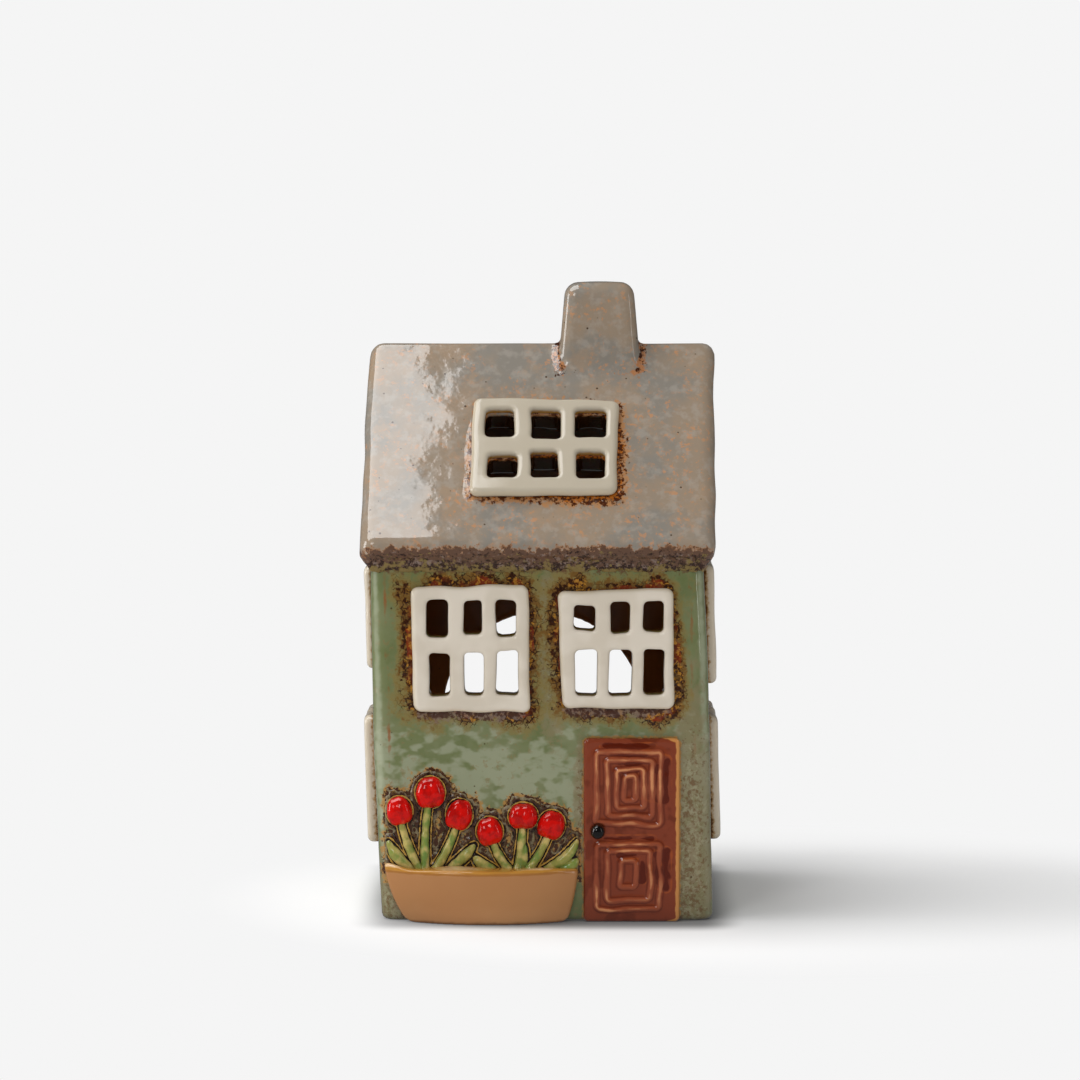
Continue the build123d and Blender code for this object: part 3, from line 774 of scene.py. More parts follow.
@dataclass(frozen=True)
class HouseSizes:
    """Driving sizes of the house and the planes that its pieces lie on."""
    body_width: float = 83.7
    body_depth: float = 74.0
    wall_height: float = 90.4
    wall_thickness: float = 5.0
    base_thickness: float = 5.0
    wall_lean: float = 2.6
    wall_corner_radius: float = 4.0
    foot_radius: float = 1.4
    roof_pitch: float = 49.9
    roof_thickness: float = 7.0
    gable_overhang: float = 2.6
    eave_reach: float = 0.4
    ridge_lean: float = 1.5
    ridge_radius: float = 2.6
    arch_half_width: float = 26.6
    arch_spring_height: float = 44.0
    arch_centre: float = -1.1

    @property
    def half_width(self) -> float:
        """Half the width of the foot."""
        return self.body_width / 2

    @property
    def half_depth(self) -> float:
        """Half the depth over the walls."""
        return self.body_depth / 2

    @property
    def pitch(self) -> float:
        """Slope of the roof in radians."""
        return math.radians(self.roof_pitch)

    @property
    def ridge_underside(self) -> float:
        """Height of the inner edge under the ridge."""
        return self.wall_height + self.half_depth * math.tan(self.pitch)

    @property
    def ridge_line(self) -> float:
        """Height where the two weather faces would meet if they weren't rounded."""
        return self.ridge_underside + self.roof_thickness / math.cos(self.pitch)

    @property
    def eave_run(self) -> float:
        """Length of a slope from the ridge line to the eave."""
        return (self.half_depth / math.cos(self.pitch) + self.eave_reach
                + self.roof_thickness * math.tan(self.pitch))

    def lean_at(self, height: Array | float) -> Array:
        """Sideways shift of the house's middle line.

        Args:
            height: height above the table.

        Returns:
            The shift to the right, in mm.
        """
        rise = np.asarray(height, dtype=float)
        low = -self.wall_lean * rise / self.wall_height
        high = self.ridge_lean * (rise - self.wall_height) / (self.ridge_line - self.wall_height)
        return np.where(rise <= self.wall_height, low, high - self.wall_lean)

    def slopes(self, points: Array) -> tuple[Array, Array]:
        """Distances of points, in mm, out of the front and the back weather face of the roof."""
        side, rise = points[:, 1] * math.sin(self.pitch), points[:, 2] - self.ridge_line
        return rise * math.cos(self.pitch) - side, rise * math.cos(self.pitch) + side

    def run(self, points: Array) -> Array:
        """Distance of points, in mm, down a slope of the roof from the ridge line."""
        return (np.abs(points[:, 1]) * math.cos(self.pitch)
                + (self.ridge_line - points[:, 2]) * math.sin(self.pitch))

    def front_plane(self, across: float, head_gap: float, tall: float) -> Plane:
        """Plane on the front wall at the middle of a window.

        Args:
            across: share of the half width, to the right.
            head_gap: gap between the window and the wall's top.
            tall: height of the window.

        Returns:
            The plane, facing out.
        """
        height = self.wall_height - head_gap - tall / 2
        origin = np.array((across * self.half_width + float(self.lean_at(height)), -self.half_depth, height))
        return Plane(origin, np.array((1.0, 0, 0)), np.array((0, 0, 1.0)), np.array((0, -1.0, 0)))

    def side_plane(self, side: int, up: float) -> Plane:
        """Plane on a side wall.

        Args:
            side: -1 for the left wall, 1 for the right.
            up: share of the wall's height.

        Returns:
            The plane, facing out.
        """
        height, angle = up * self.wall_height, math.atan2(self.wall_lean, self.wall_height)
        origin = np.array((side * self.half_width + float(self.lean_at(height)), 0.0, height))
        out = np.array((side * math.cos(angle), 0.0, side * math.sin(angle)))
        right = np.array((0.0, float(side), 0.0))
        return Plane(origin, right, np.cross(out, right), out)

    def roof_plane(self, across: float, down: float) -> Plane:
        """Plane on the front slope of the roof.

        Args:
            across: share of the half width, to the right.
            down: share of the slope's length, from the ridge line.

        Returns:
            The plane, facing out.
        """
        slope, rise = math.cos(self.pitch), math.sin(self.pitch)
        run = down * self.eave_run
        height = self.ridge_line - run * rise
        origin = np.array((across * self.half_width + float(self.lean_at(height)), -run * slope, height))
        return Plane(origin, np.array((1.0, 0, 0)), np.array((0, slope, rise)), np.array((0, -rise, slope)))


HOUSE = HouseSizes()


# Window plates

class Opening(Enum):
    """What a window is pierced through."""
    FRONT = "front"
    ROOF = "roof"
    SIDE = "side"


@dataclass(frozen=True)
class WindowPlate:
    """A hand-cut plate with six panes, laid on a wall or on the roof."""
    node: str
    width: float
    height: float
    place: Plane
    opening: Opening
    corner_shares: tuple
    pane_shares: tuple
    seed: int
    thickness: float = 2.6
    corner_radius: float = 2.0
    edge_radius: float = 1.5
    pane_radius: float = 1.2
    pane_edge_radius: float = 0.9
    sink: float = 0.3
    wobble: float = 0.18
    wobble_length: float = 13.0
    crown: float = 0.12
    burnt: float = 0.0
    # Share of painted shade that darkens the plate, 1 on the roof's plate
    painted_shade: float = 0.0
    step: float = 0.42

    def flat(self, points: Array) -> tuple[Array, Array, Array]:
        """Places in the plate's own plane, warped as a hand cuts clay.

        Args:
            points: places in mm.

        Returns:
            Distances right, up and out, the first two warped.
        """
        right, up, out = self.place.local(points)
        flat = self.place.world(right, up, np.zeros(len(points)))
        right = right + self.wobble * Ripple(self.wobble_length, self.seed).at(flat)
        up = up + self.wobble * Ripple(self.wobble_length, self.seed + 1).at(flat)
        return right, up, out

    def outline(self, right: Array, up: Array, radius: float) -> Array:
        """Distance to the plate's four-cornered outline.

        Args:
            right: distances right of its middle.
            up: distances up.
            radius: radius of the corners.

        Returns:
            The distance, negative inside.
        """
        corners = np.array(self.corner_shares) * (self.width / 2, self.height / 2)
        sides = []
        for start, end in zip(corners, np.roll(corners, -1, axis=0)):
            run = (end - start) / np.linalg.norm(end - start)
            sides.append((right - start[0]) * run[1] - (up - start[1]) * run[0])
        return round_meet(radius, *sides)

    def panes(self, right: Array, up: Array) -> Array:
        """Distance to the nearest pane.

        Args:
            right: distances right of the plate's middle.
            up: distances up.

        Returns:
            The distance, negative in a pane.
        """
        nearest = np.full(len(right), np.inf)
        for left, end, low, high in self.pane_shares:
            middle = (left + end) * self.width / 4, (low + high) * self.height / 4
            half = (end - left) * self.width / 4, (high - low) * self.height / 4
            pane = round_meet(self.pane_radius, np.abs(right - middle[0]) - half[0],
                              np.abs(up - middle[1]) - half[1])
            nearest = np.minimum(nearest, pane)
        return nearest

    def form(self, points: Array) -> Array:
        """Distance to the plate.

        Args:
            points: places in mm.

        Returns:
            The distance at each point.
        """
        right, up, out = self.flat(points)
        outline = self.outline(right, up, self.corner_radius)
        panes = self.panes(right, up)
        bulge = self.crown * Ripple(self.wobble_length, self.seed + 2).at(points)
        slab = round_meet(self.edge_radius, outline, out - self.thickness + self.crown - bulge * 0.5,
                          -out - self.sink)
        return round_meet(self.pane_edge_radius, slab, -panes)

    def pierce(self, points: Array, body: Array) -> Array:
        """Cuts the panes through the wall behind the plate.

        Args:
            points: places in mm.
            body: distance to the wall.

        Returns:
            The distance to the pierced wall.
        """
        reach = self.place.local(points)
        depth = HOUSE.roof_thickness if self.opening is Opening.ROOF else HOUSE.wall_thickness
        near = ((np.abs(reach[0]) < self.width / 2) & (np.abs(reach[1]) < self.height / 2)
                & (reach[2] > -2 * depth) & (reach[2] < 2 * self.thickness))
        cut = body.copy()
        right, up, out = self.flat(points[near])
        cut[near] = round_meet(0.4, body[near], -np.maximum(self.panes(right, up), -out - 1.6 * depth))
        return cut

    def build(self) -> None:
        """Meshes the plate."""
        half = np.array((self.width, self.height)) / 2 + 1.0
        ends = np.array([(r, u, o) for r in (-half[0], half[0]) for u in (-half[1], half[1])
                         for o in (-self.sink, self.thickness)])
        corners = self.place.world(*ends.T)
        points, squares = ClayMesher(self.step).mesh(self.form, corners.min(axis=0), corners.max(axis=0))
        right, up, out = self.flat(points)
        low = 1 - np.clip(out / self.thickness, 0.0, 1.0) + self.burnt
        values = {"low": low, "edge": -self.outline(right, up, self.corner_radius),
                  "pane_depth": low * smooth_step(0.6, 0.1, self.panes(right, up)),
                  "painted_shade": np.full(len(points), self.painted_shade)}
        piece = new_piece(f"{self.node}_plate", points, squares, values)
        dress(piece, IVORY, "house", "plate_glaze", self.node)


def pierced(points: Array, body: Array, plates: list[WindowPlate]) -> Array:
    """Distance of points, in mm, to a body with the panes of those plates cut through it."""
    for plate in plates:
        body = plate.pierce(points, body)
    return body


def window_plates() -> list[WindowPlate]:
    """All seven window plates.

    Returns:
        The plates, front and roof first.
    """
    front_left = WindowPlate(
        "front_window_left", 29.8, 32.3, HOUSE.front_plane(-0.411, 4.9, 32.3), Opening.FRONT,
        ((-0.95, -0.99), (1.00, -1.00), (0.99, 1.00), (-1.00, 0.96)),
        ((-0.70, -0.35, -0.74, -0.08), (-0.10, 0.23, -0.72, -0.07), (0.43, 0.80, -0.73, -0.03),
         (-0.74, -0.39, 0.18, 0.76), (-0.11, 0.20, 0.21, 0.76), (0.43, 0.77, 0.18, 0.75)), 11)
    front_right = WindowPlate(
        "front_window_right", 29.4, 30.7, HOUSE.front_plane(0.459, 5.8, 30.7), Opening.FRONT,
        ((-0.92, -0.98), (1.00, -1.00), (0.98, 1.00), (-1.00, 0.94)),
        ((-0.70, -0.32, -0.77, -0.02), (-0.11, 0.27, -0.77, -0.02), (0.47, 0.83, -0.74, 0.00),
         (-0.73, -0.35, 0.29, 0.73), (-0.10, 0.24, 0.26, 0.76), (0.47, 0.81, 0.30, 0.78)), 21)
    # The roof's plate is painted darker, as painted shade
    roof = WindowPlate(
        "roof_window", 37.9, 30.3, HOUSE.roof_plane(0.030, 0.534), Opening.ROOF,
        ((-1.00, -1.00), (0.95, -0.98), (1.00, 0.95), (-0.96, 1.00)),
        ((-0.76, -0.37, -0.67, -0.20), (-0.19, 0.18, -0.66, -0.12), (0.42, 0.80, -0.68, -0.14),
         (-0.79, -0.41, 0.17, 0.73), (-0.18, 0.21, 0.13, 0.74), (0.40, 0.82, 0.15, 0.73)), 31, painted_shade=1.0)
    plates = [front_left, front_right, roof]
    for name, side, up, height, thickness, seed in (
            ("left_upper", -1, 0.822, 26.6, 2.6, 41), ("left_lower", -1, 0.360, 33.0, 3.9, 51),
            ("right_upper", 1, 0.806, 31.4, 3.5, 61), ("right_lower", 1, 0.366, 32.4, 3.5, 71)):
        plates.append(WindowPlate(
            f"side_window_{name}", 32.0, height, HOUSE.side_plane(side, up), Opening.SIDE,
            ((-0.97, -1.00), (1.00, -0.97), (0.97, 1.00), (-1.00, 0.96)),
            ((-0.74, -0.38, -0.74, -0.10), (-0.17, 0.19, -0.74, -0.08), (0.40, 0.77, -0.73, -0.09),
             (-0.75, -0.38, 0.18, 0.72), (-0.18, 0.18, 0.18, 0.74), (0.39, 0.76, 0.19, 0.73)),
            seed, thickness, burnt=0.3))
    return plates


# Walls, roof and chimney

@dataclass(frozen=True)
class HouseBody:
    """Floor and four walls, luted and fired into one."""
    plates: list[WindowPlate]
    inner_radius: float = 2.0
    edge_radius: float = 1.3
    swell: float = 0.10
    swell_length: float = 34.0
    dimple: float = 0.013
    dimple_length: float = 8.0
    bow: float = 0.5
    roof_overlap: float = 0.5
    streak: float = 1.3
    streak_length: float = 10.0
    # Middle height and half height of the painted reflection of the lit table on the front wall
    table_reflection_height: float = 37.0
    table_reflection_half: float = 7.0
    arch_halo: float = 1.4
    seam: float = 3.6
    through_halo: float = 3.6
    step: float = 0.95
    stains: tuple = ((36.2, 18.0, 4.4, 31.0), (-37.0, 3.0, 6.0, 10.0), (1.5, 70.0, 3.0, 17.0),
                     (8.6, 30.0, 1.4, 13.0))

    def outside(self, points: Array) -> Array:
        """Distance to the outside of the walls.

        Args:
            points: places in mm.

        Returns:
            The distance at each point.
        """
        x, y, z = points.T
        across = np.abs(x - HOUSE.lean_at(z)) - HOUSE.half_width
        across = across - self.bow * np.sin(np.clip(z / HOUSE.wall_height, 0.0, 1.0) * math.pi)
        along = np.abs(y) - HOUSE.half_depth
        walls = round_meet(HOUSE.wall_corner_radius, across, along)
        walls = walls - self.swell * Ripple(self.swell_length, 3).at(points)
        walls = walls - self.dimple * Ripple(self.dimple_length, 4).at(points)
        top = np.maximum(*HOUSE.slopes(points)) + HOUSE.roof_thickness - self.roof_overlap
        return np.maximum(round_meet(HOUSE.foot_radius, walls, -z), top)

    def arch(self, points: Array) -> Array:
        """Distance of points, in mm, to the arched way out, negative in it."""
        up = np.maximum(points[:, 2] - HOUSE.arch_spring_height, 0.0)
        return np.hypot(points[:, 0] - HOUSE.arch_centre, up) - HOUSE.arch_half_width

    def hollow(self, points: Array) -> Array:
        """Distance to the space inside, with its way out through the arch.

        Args:
            points: places in mm.

        Returns:
            The distance, negative in the space.
        """
        x, y, z = points.T
        across = np.abs(x - HOUSE.lean_at(z)) - HOUSE.half_width + HOUSE.wall_thickness
        along = np.abs(y) - HOUSE.half_depth + HOUSE.wall_thickness
        room = round_meet(self.inner_radius, across, along, HOUSE.base_thickness - z)
        arch = np.maximum(np.maximum(self.arch(points), HOUSE.base_thickness - z), -y)
        return np.minimum(room, arch)

    def form(self, points: Array) -> Array:
        """Distance of points, in mm, to the pierced body."""
        body = round_meet(self.edge_radius, self.outside(points), -self.hollow(points))
        return pierced(points, body, [plate for plate in self.plates if plate.opening is not Opening.ROOF])

    def build(self, bed: "FlowerBox") -> None:
        """Meshes the body and measures what its glaze follows.

        Args:
            bed: the flower box, whose planted bed the glaze is burnt round.
        """
        reach = HOUSE.half_width + HOUSE.wall_lean + self.bow
        low = (-reach, -HOUSE.half_depth - 0.5, 0.0)
        high = (reach, HOUSE.half_depth + 0.5, HOUSE.ridge_underside + 1.0)
        points, squares = ClayMesher(self.step).mesh(self.form, low, high)
        gap = -np.maximum(*HOUSE.slopes(points)) - HOUSE.roof_thickness
        off = HOUSE.half_width - np.abs(points[:, 0] - HOUSE.lean_at(points[:, 2]))
        # corner is the distance in from the walls' corners, for the painted highlight along them
        corner = np.maximum(off, HOUSE.half_depth - np.abs(points[:, 1]))
        # table_reflection places the painted reflection of the lit table: a band across the front wall round
        # one height
        values = {"depth": -self.outside(points), "halo": self.halo(points), "corner": corner,
                  "under": self.under(points), "bed": bed.distance(points), "seam": np.abs(off - self.seam),
                  "table_reflection": (np.abs(points[:, 2] - self.table_reflection_height) / self.table_reflection_half - 1.0
                           + 4.0 * smooth_step(2.0, 30.0, points[:, 1] + HOUSE.half_depth)),
                  "stain": self.stain(points), "door": DOOR.distance(points),
                  "top": smooth_step(2.6, 0.2, gap)}
        piece = new_piece("house_body", points, squares, values)
        dress(piece, CELADON, "house", "wall_glaze",
              "base_slab", "front_wall", "back_wall", "left_wall", "right_wall")

    def halo(self, points: Array) -> Array:
        """Distance along the wall from the nearest plate's or the arch's edge, streaked as the rust is.

        Args:
            points: places in mm.

        Returns:
            The distance at each point.
        """
        nearest = np.where(points[:, 1] > HOUSE.half_depth - 2.0, np.abs(self.arch(points)) + self.arch_halo,
                           99.0)
        for plate in self.plates:
            right, up, out = plate.flat(points)
            beside = plate.outline(right, up, 1.0)
            edge = np.hypot(np.maximum(beside, 0.0), np.maximum(np.abs(out) - 3.0, 0.0))
            through = (beside < -1.5) & (np.abs(out) < 2 * HOUSE.wall_thickness)
            edge = edge + self.streak * Ripple(self.streak_length, 12).at(points * np.array((1.0, 1.0, 0.5)))
            edge = np.where(beside < 1.0, np.maximum(edge, 0.6), edge)
            nearest = np.minimum(nearest, np.where(through, self.through_halo, edge))
        return nearest

    def stain(self, points: Array) -> Array:
        """Distance from the brown patches on the front wall, as a share of their size.

        Args:
            points: places in mm.

        Returns:
            Below 0 in a patch, above 0 away from it.
        """
        x, y, z = points.T
        nearest = np.full(len(points), 2.0)
        for across, up, wide, tall in self.stains:
            patch = np.hypot((x - across) / wide, (z - up) / tall) - 1
            nearest = np.minimum(nearest, patch)
        return nearest + 2.5 * smooth_step(2.0, 20.0, y + HOUSE.half_depth)

    def under(self, points: Array) -> Array:
        """How far a place lies below a plate, for the patches below it, darkest just under its lower edge.

        Args:
            points: places in mm.

        Returns:
            1 just under a plate, falling to 0.
        """
        most = np.zeros(len(points))
        for plate in self.plates:
            right, up, out = plate.flat(points)
            # Full just under the plate, gone 4.5 mm further down and past its ends
            below = -up - plate.height / 2
            beside = np.abs(right) - plate.width / 2
            patch = (smooth_step(4.5, 0.5, below) * smooth_step(-1.5, 0.0, below)
                     * smooth_step(1.0, -3.0, beside) * (np.abs(out) < 3.0))
            most = np.maximum(most, patch)
        return most


@dataclass(frozen=True)
class Roof:
    """Two slabs that meet at the ridge, with the chimney blended into them."""
    plates: list[WindowPlate]
    end_radius: float = 3.4
    lip_radius: float = 0.5
    swell: float = 0.06
    swell_length: float = 30.0
    dimple: float = 0.012
    dimple_length: float = 8.0
    edge_swell: float = 0.22
    edge_length: float = 17.0
    eave_trim: float = 0.1
    skirt: float = 2.0
    skirt_fillet: float = 2.6
    skirt_ragged: float = 0.7
    skirt_length: float = 6.0
    skirt_proud: float = 0.3
    skirt_width: float = 4.0
    skirt_rise: float = 2.5
    chimney_place_share: float = 0.350
    chimney_height: float = 16.2
    chimney_foot_width: float = 21.3
    chimney_top_width: float = 17.3
    chimney_foot_depth: float = 13.0
    chimney_top_depth: float = 11.0
    chimney_radius: float = 3.0
    chimney_fillet: float = 1.5
    crown: float = 0.8
    step: float = 0.85

    def slab(self, points: Array) -> Array:
        """Distance to the two slabs.

        Args:
            points: places in mm.

        Returns:
            The distance at each point.
        """
        x, y, z = points.T
        front, back = HOUSE.slopes(points)
        weather = round_meet(HOUSE.ridge_radius, front, back)
        weather = weather - self.swell * Ripple(self.swell_length, 6).at(points)
        weather = weather - self.dimple * Ripple(self.dimple_length, 7).at(points)
        run = HOUSE.run(points) - HOUSE.eave_run
        run = run + self.eave_trim - self.edge_swell * Ripple(self.edge_length, 8).at(points)
        beside = np.abs(x - HOUSE.lean_at(z)) - HOUSE.half_width
        ends = beside - HOUSE.gable_overhang - self.edge_swell * Ripple(self.edge_length, 9).at(points)
        outer = round_meet(self.end_radius, weather, run, ends)
        slabs = round_meet(self.lip_radius, outer, -np.maximum(front, back) - HOUSE.roof_thickness)
        lowest = HOUSE.wall_height - self.skirt + self.skirt_ragged * Ripple(self.skirt_length, 11).at(points)
        along = np.abs(y) - HOUSE.half_depth
        skirt = round_meet(0.5, beside, along - self.skirt_proud, -along - self.skirt_width,
                           z - HOUSE.wall_height - self.skirt_rise, lowest - z)
        return soft_join(slabs, skirt, self.skirt_fillet)

    def chimney(self, points: Array) -> Array:
        """Distance to the chimney.

        Args:
            points: places in mm.

        Returns:
            The distance at each point.
        """
        x, y, z = points.T
        ridge = HOUSE.ridge_line - HOUSE.ridge_radius * (1 / math.cos(HOUSE.pitch) - 1)
        foot = HOUSE.ridge_line - self.chimney_foot_depth / 2 * math.tan(HOUSE.pitch)
        top = ridge + self.chimney_height
        share = np.clip((z - foot) / (top - foot), -0.5, 1.2)
        width = self.chimney_foot_width + share * (self.chimney_top_width - self.chimney_foot_width)
        depth = self.chimney_foot_depth + share * (self.chimney_top_depth - self.chimney_foot_depth)
        middle = self.chimney_place_share * HOUSE.half_width + float(HOUSE.lean_at(ridge))
        off = np.abs(x - middle)
        sag = self.crown * ((off / (self.chimney_top_width / 2)) ** 2
                            + (y / (self.chimney_top_depth / 2)) ** 2) / 2
        stack = round_meet(self.chimney_radius, off - width / 2, np.abs(y) - depth / 2, z - top + sag)
        stack = stack - self.dimple * Ripple(self.dimple_length, 10).at(points)
        return np.maximum(stack, -np.maximum(*HOUSE.slopes(points)) - HOUSE.roof_thickness + 1.0)

    def form(self, points: Array) -> Array:
        """Distance of points, in mm, to the pierced roof with its chimney."""
        whole = soft_join(self.slab(points), self.chimney(points), self.chimney_fillet)
        return pierced(points, whole, [plate for plate in self.plates if plate.opening is Opening.ROOF])

    def build(self) -> None:
        """Meshes the roof and measures what its glaze follows."""
        low, high = (np.array(corner) / MM for corner in CAD_BOX)
        low[1], low[2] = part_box("front_roof_slab")[0][1] / MM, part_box("front_roof_slab")[0][2] / MM
        points, squares = ClayMesher(self.step).mesh(self.form, low, high)
        front, back = HOUSE.slopes(points)
        halo, pit = np.full(len(points), 99.0), np.zeros(len(points))
        for plate in self.plates:
            if plate.opening is Opening.ROOF:
                right, up, out = plate.flat(points)
                beside = plate.outline(right, up, 1.0)
                # pit is the depth into the roof inside the roof window's outline, for the painted shade in
                # its panes
                pit = np.where(beside < -1.0, -np.maximum(front, back), 0.0)
                halo = np.maximum(beside, 0.0) + np.maximum(np.abs(out) - 1.5, 0.0)
                # The glaze ran down: the rust is thin along the upper edge and the left one
                halo += 1.6 * smooth_step(0.0, 14.0, up) + 1.3 * smooth_step(8.0, -8.0, right)
        # The rust at the chimney's foot lies beside the stack, and hardly in front of it
        middle = self.chimney_place_share * HOUSE.half_width - 1.1
        foot = np.abs(self.chimney(points)) + np.maximum(self.slab(points), 0.0) * 2.0
        foot += 1.6 * smooth_step(10.0, 7.0, np.abs(points[:, 0] - middle))
        values = {"depth": -np.maximum(front, back), "eave": HOUSE.eave_run - HOUSE.run(points),
                  "halo": halo, "foot": foot, "pit": pit}
        piece = new_piece("roof_and_chimney", points, squares, values)
        dress(piece, TAUPE, "house", "roof_glaze", "front_roof_slab", "rear_roof_slab", "chimney")


# Door

@dataclass(frozen=True)
class Ring:
    """One pressed frame of the door: where its four sides run, in mm from the door's foot middle."""
    left: float
    right: float
    low: float
    high: float
    height: float = 0.5


@dataclass(frozen=True)
class Door:
    """Pressed door with two sets of nested frames, and its ball knob."""
    width: float = 24.4
    height: float = 46.8
    inset: float = 8.4
    thickness: float = 1.8
    sink: float = 0.25
    edge_radius: float = 0.9
    outline_radius: float = 1.3
    clear: float = 0.15
    ridge_width: float = 0.74
    corner_radius: float = 1.7
    wobble: float = 0.22
    wobble_length: float = 9.0
    dimple: float = 0.02
    dimple_length: float = 5.0
    knob_radius: float = 1.9
    knob_sink: float = 0.5
    knob_place_shares: tuple = (-0.70, 0.497)
    knob_seat: float = 0.35
    knob_gap: float = 0.3
    pool_gap: float = 0.8
    # Where the painted highlight on the door's edge fades out, in mm right of its middle
    lit_edge: tuple = (8.0, 11.5)
    step: float = 0.24
    knob_step: float = 0.12
    rings: tuple = (
        Ring(-9.5, 7.8, 24.3, 44.0), Ring(-6.8, 5.9, 26.2, 42.0), Ring(-4.6, 3.9, 28.2, 39.5),
        Ring(-2.6, 1.9, 30.3, 37.8), Ring(-9.5, 7.8, 2.5, 20.6), Ring(-6.9, 5.6, 4.9, 18.9),
        Ring(-3.6, 1.9, 8.2, 16.4))

    @property
    def place(self) -> Plane:
        """Plane on the wall at the middle of the door's foot."""
        across = HOUSE.half_width - self.inset - self.width / 2
        return Plane(np.array((across, -HOUSE.half_depth, 0.0)), np.array((1.0, 0, 0)),
                     np.array((0, 0, 1.0)), np.array((0, -1.0, 0)))

    def outline(self, right: Array, up: Array) -> Array:
        """Distance to the door's outline, right of its middle and up from its foot, in mm."""
        return round_meet(self.outline_radius, np.abs(right) - self.width / 2 + self.clear,
                          up - self.height + self.clear, -up)

    def ridges(self, right: Array, up: Array) -> Array:
        """Height of the nested frames.

        Args:
            right: distances right of the door's middle.
            up: distances above its foot.

        Returns:
            The height at each point.
        """
        flat = np.stack([right, np.zeros(len(right)), up], axis=1)
        right = right + self.wobble * Ripple(self.wobble_length, 81).at(flat)
        up = up + self.wobble * Ripple(self.wobble_length, 82).at(flat)
        height = np.zeros(len(right))
        for ring in self.rings:
            middle = (ring.left + ring.right) / 2, (ring.low + ring.high) / 2
            half = (ring.right - ring.left) / 2, (ring.high - ring.low) / 2
            near = round_meet(min(self.corner_radius, half[0] * 0.8),
                              np.abs(right - middle[0]) - half[0], np.abs(up - middle[1]) - half[1])
            crest = np.exp(-((near + self.ridge_width) / self.ridge_width) ** 2)
            height = np.maximum(height, ring.height * crest)
        return height

    def pool(self, right: Array, up: Array) -> Array:
        """Distance from where the glaze pools, under the upper right corners of the frames.

        Args:
            right: distances right of the door's middle.
            up: distances up from its foot.

        Returns:
            The distance, which grows away from a pool.
        """
        nearest = np.full(len(right), 9.0)
        # A pool lies on the middle two thirds of a frame's head and on the upper half of its right side
        for ring in self.rings:
            across = np.abs(right - (ring.left + ring.right) / 2) - (ring.right - ring.left) / 3
            head = np.hypot(np.maximum(across, 0.0), (up - ring.high - 0.7) * 1.6)
            along = np.abs(up - ring.low * 0.4 - ring.high * 0.6) - (ring.high - ring.low) / 4
            side = np.hypot(right - ring.right - self.pool_gap, np.maximum(along, 0.0))
            nearest = np.minimum(nearest, np.minimum(head, side))
        return nearest

    def form(self, points: Array) -> Array:
        """Distance to the door.

        Args:
            points: places in mm.

        Returns:
            The distance at each point.
        """
        right, up, out = self.place.local(points)
        dimples = self.dimple * Ripple(self.dimple_length, 83).at(points)
        face = self.thickness + self.ridges(right, up) + dimples
        slab = round_meet(self.edge_radius, self.outline(right, up), out - face, -out - self.sink)
        seat = np.linalg.norm(points - self.knob_centre, axis=1) - self.knob_radius - self.knob_seat
        return round_meet(0.2, slab, -seat)

    @property
    def knob_centre(self) -> Array:
        """Middle of the ball knob."""
        right, up = self.knob_place_shares[0] * self.width / 2, self.knob_place_shares[1] * self.height
        out = self.thickness + self.knob_radius - self.knob_sink
        return self.place.world(np.array([right]), np.array([up]), np.array([out]))[0]

    def distance(self, points: Array) -> Array:
        """Distance of points along the front wall from the door, large away from that wall."""
        right, up, out = self.place.local(points)
        return np.where(np.abs(out) < 3.0, np.maximum(self.outline(right, up), 0.0), 99.0)

    def knob_form(self, points: Array) -> Array:
        """Distance to the knob, a ball rolled by hand with a little foot.

        Args:
            points: places in mm.

        Returns:
            The distance at each point.
        """
        radius = self.knob_radius
        ball = egg(points, tuple(self.knob_centre), (radius * 0.95, radius * 0.97, radius * 0.98))
        ball = ball - 0.05 * Ripple(2.6, 84).at(points)
        seat = self.knob_centre + np.array((0.0, radius - self.knob_sink, 0.0))
        foot = egg(points, tuple(seat), (radius * 0.72, 0.7, radius * 0.72))
        whole = soft_join(ball, foot, 0.6)
        return np.maximum(whole, points[:, 1] - seat[1] - 0.1)

    def build(self) -> None:
        """Meshes the door and its knob."""
        ends = self.place.world(np.array((-1, 1)) * self.width / 2, np.array((0.0, self.height)),
                                np.array((self.thickness + 1.2, -self.sink)))
        points, squares = ClayMesher(self.step).mesh(self.form, *ends)
        right, up, _ = self.place.local(points)
        # The edge share carries the painted highlight on the door's rim, faded out over lit_edge towards its
        # right end
        values = {"edge": 0.3 - self.outline(right, up) - smooth_step(*self.lit_edge, right),
                  "pool": self.pool(right, up),
                  "crest": self.ridges(right, up) / self.rings[0].height}
        slab = new_piece("pressed_door", points, squares, values)
        dress(slab, CHESTNUT, "house", "door_glaze", "door_panel")
        reach = self.knob_radius + self.knob_gap
        points, squares = ClayMesher(self.knob_step).mesh(
            self.knob_form, self.knob_centre - reach, self.knob_centre + reach)
        dress(new_piece("ball_knob", points, squares), JET, "house", "knob_glaze", "door_knob")


DOOR = Door()


# Flower box and tulips

@dataclass(frozen=True)
class Bloom:
    """A tulip head: place and size as shares of the flower box, its tilt and the foot of its stem."""
    across: float
    up: float
    wide: float
    tall: float
    tilt: float
    foot: float
    bow: float
    turn: float


@dataclass(frozen=True)
class Leaf:
    """A leaf blade: its foot, its tip and its bow, as shares of the flower box and the bloom rise."""
    foot: float
    tip_across: float
    tip_up: float
    bow: float


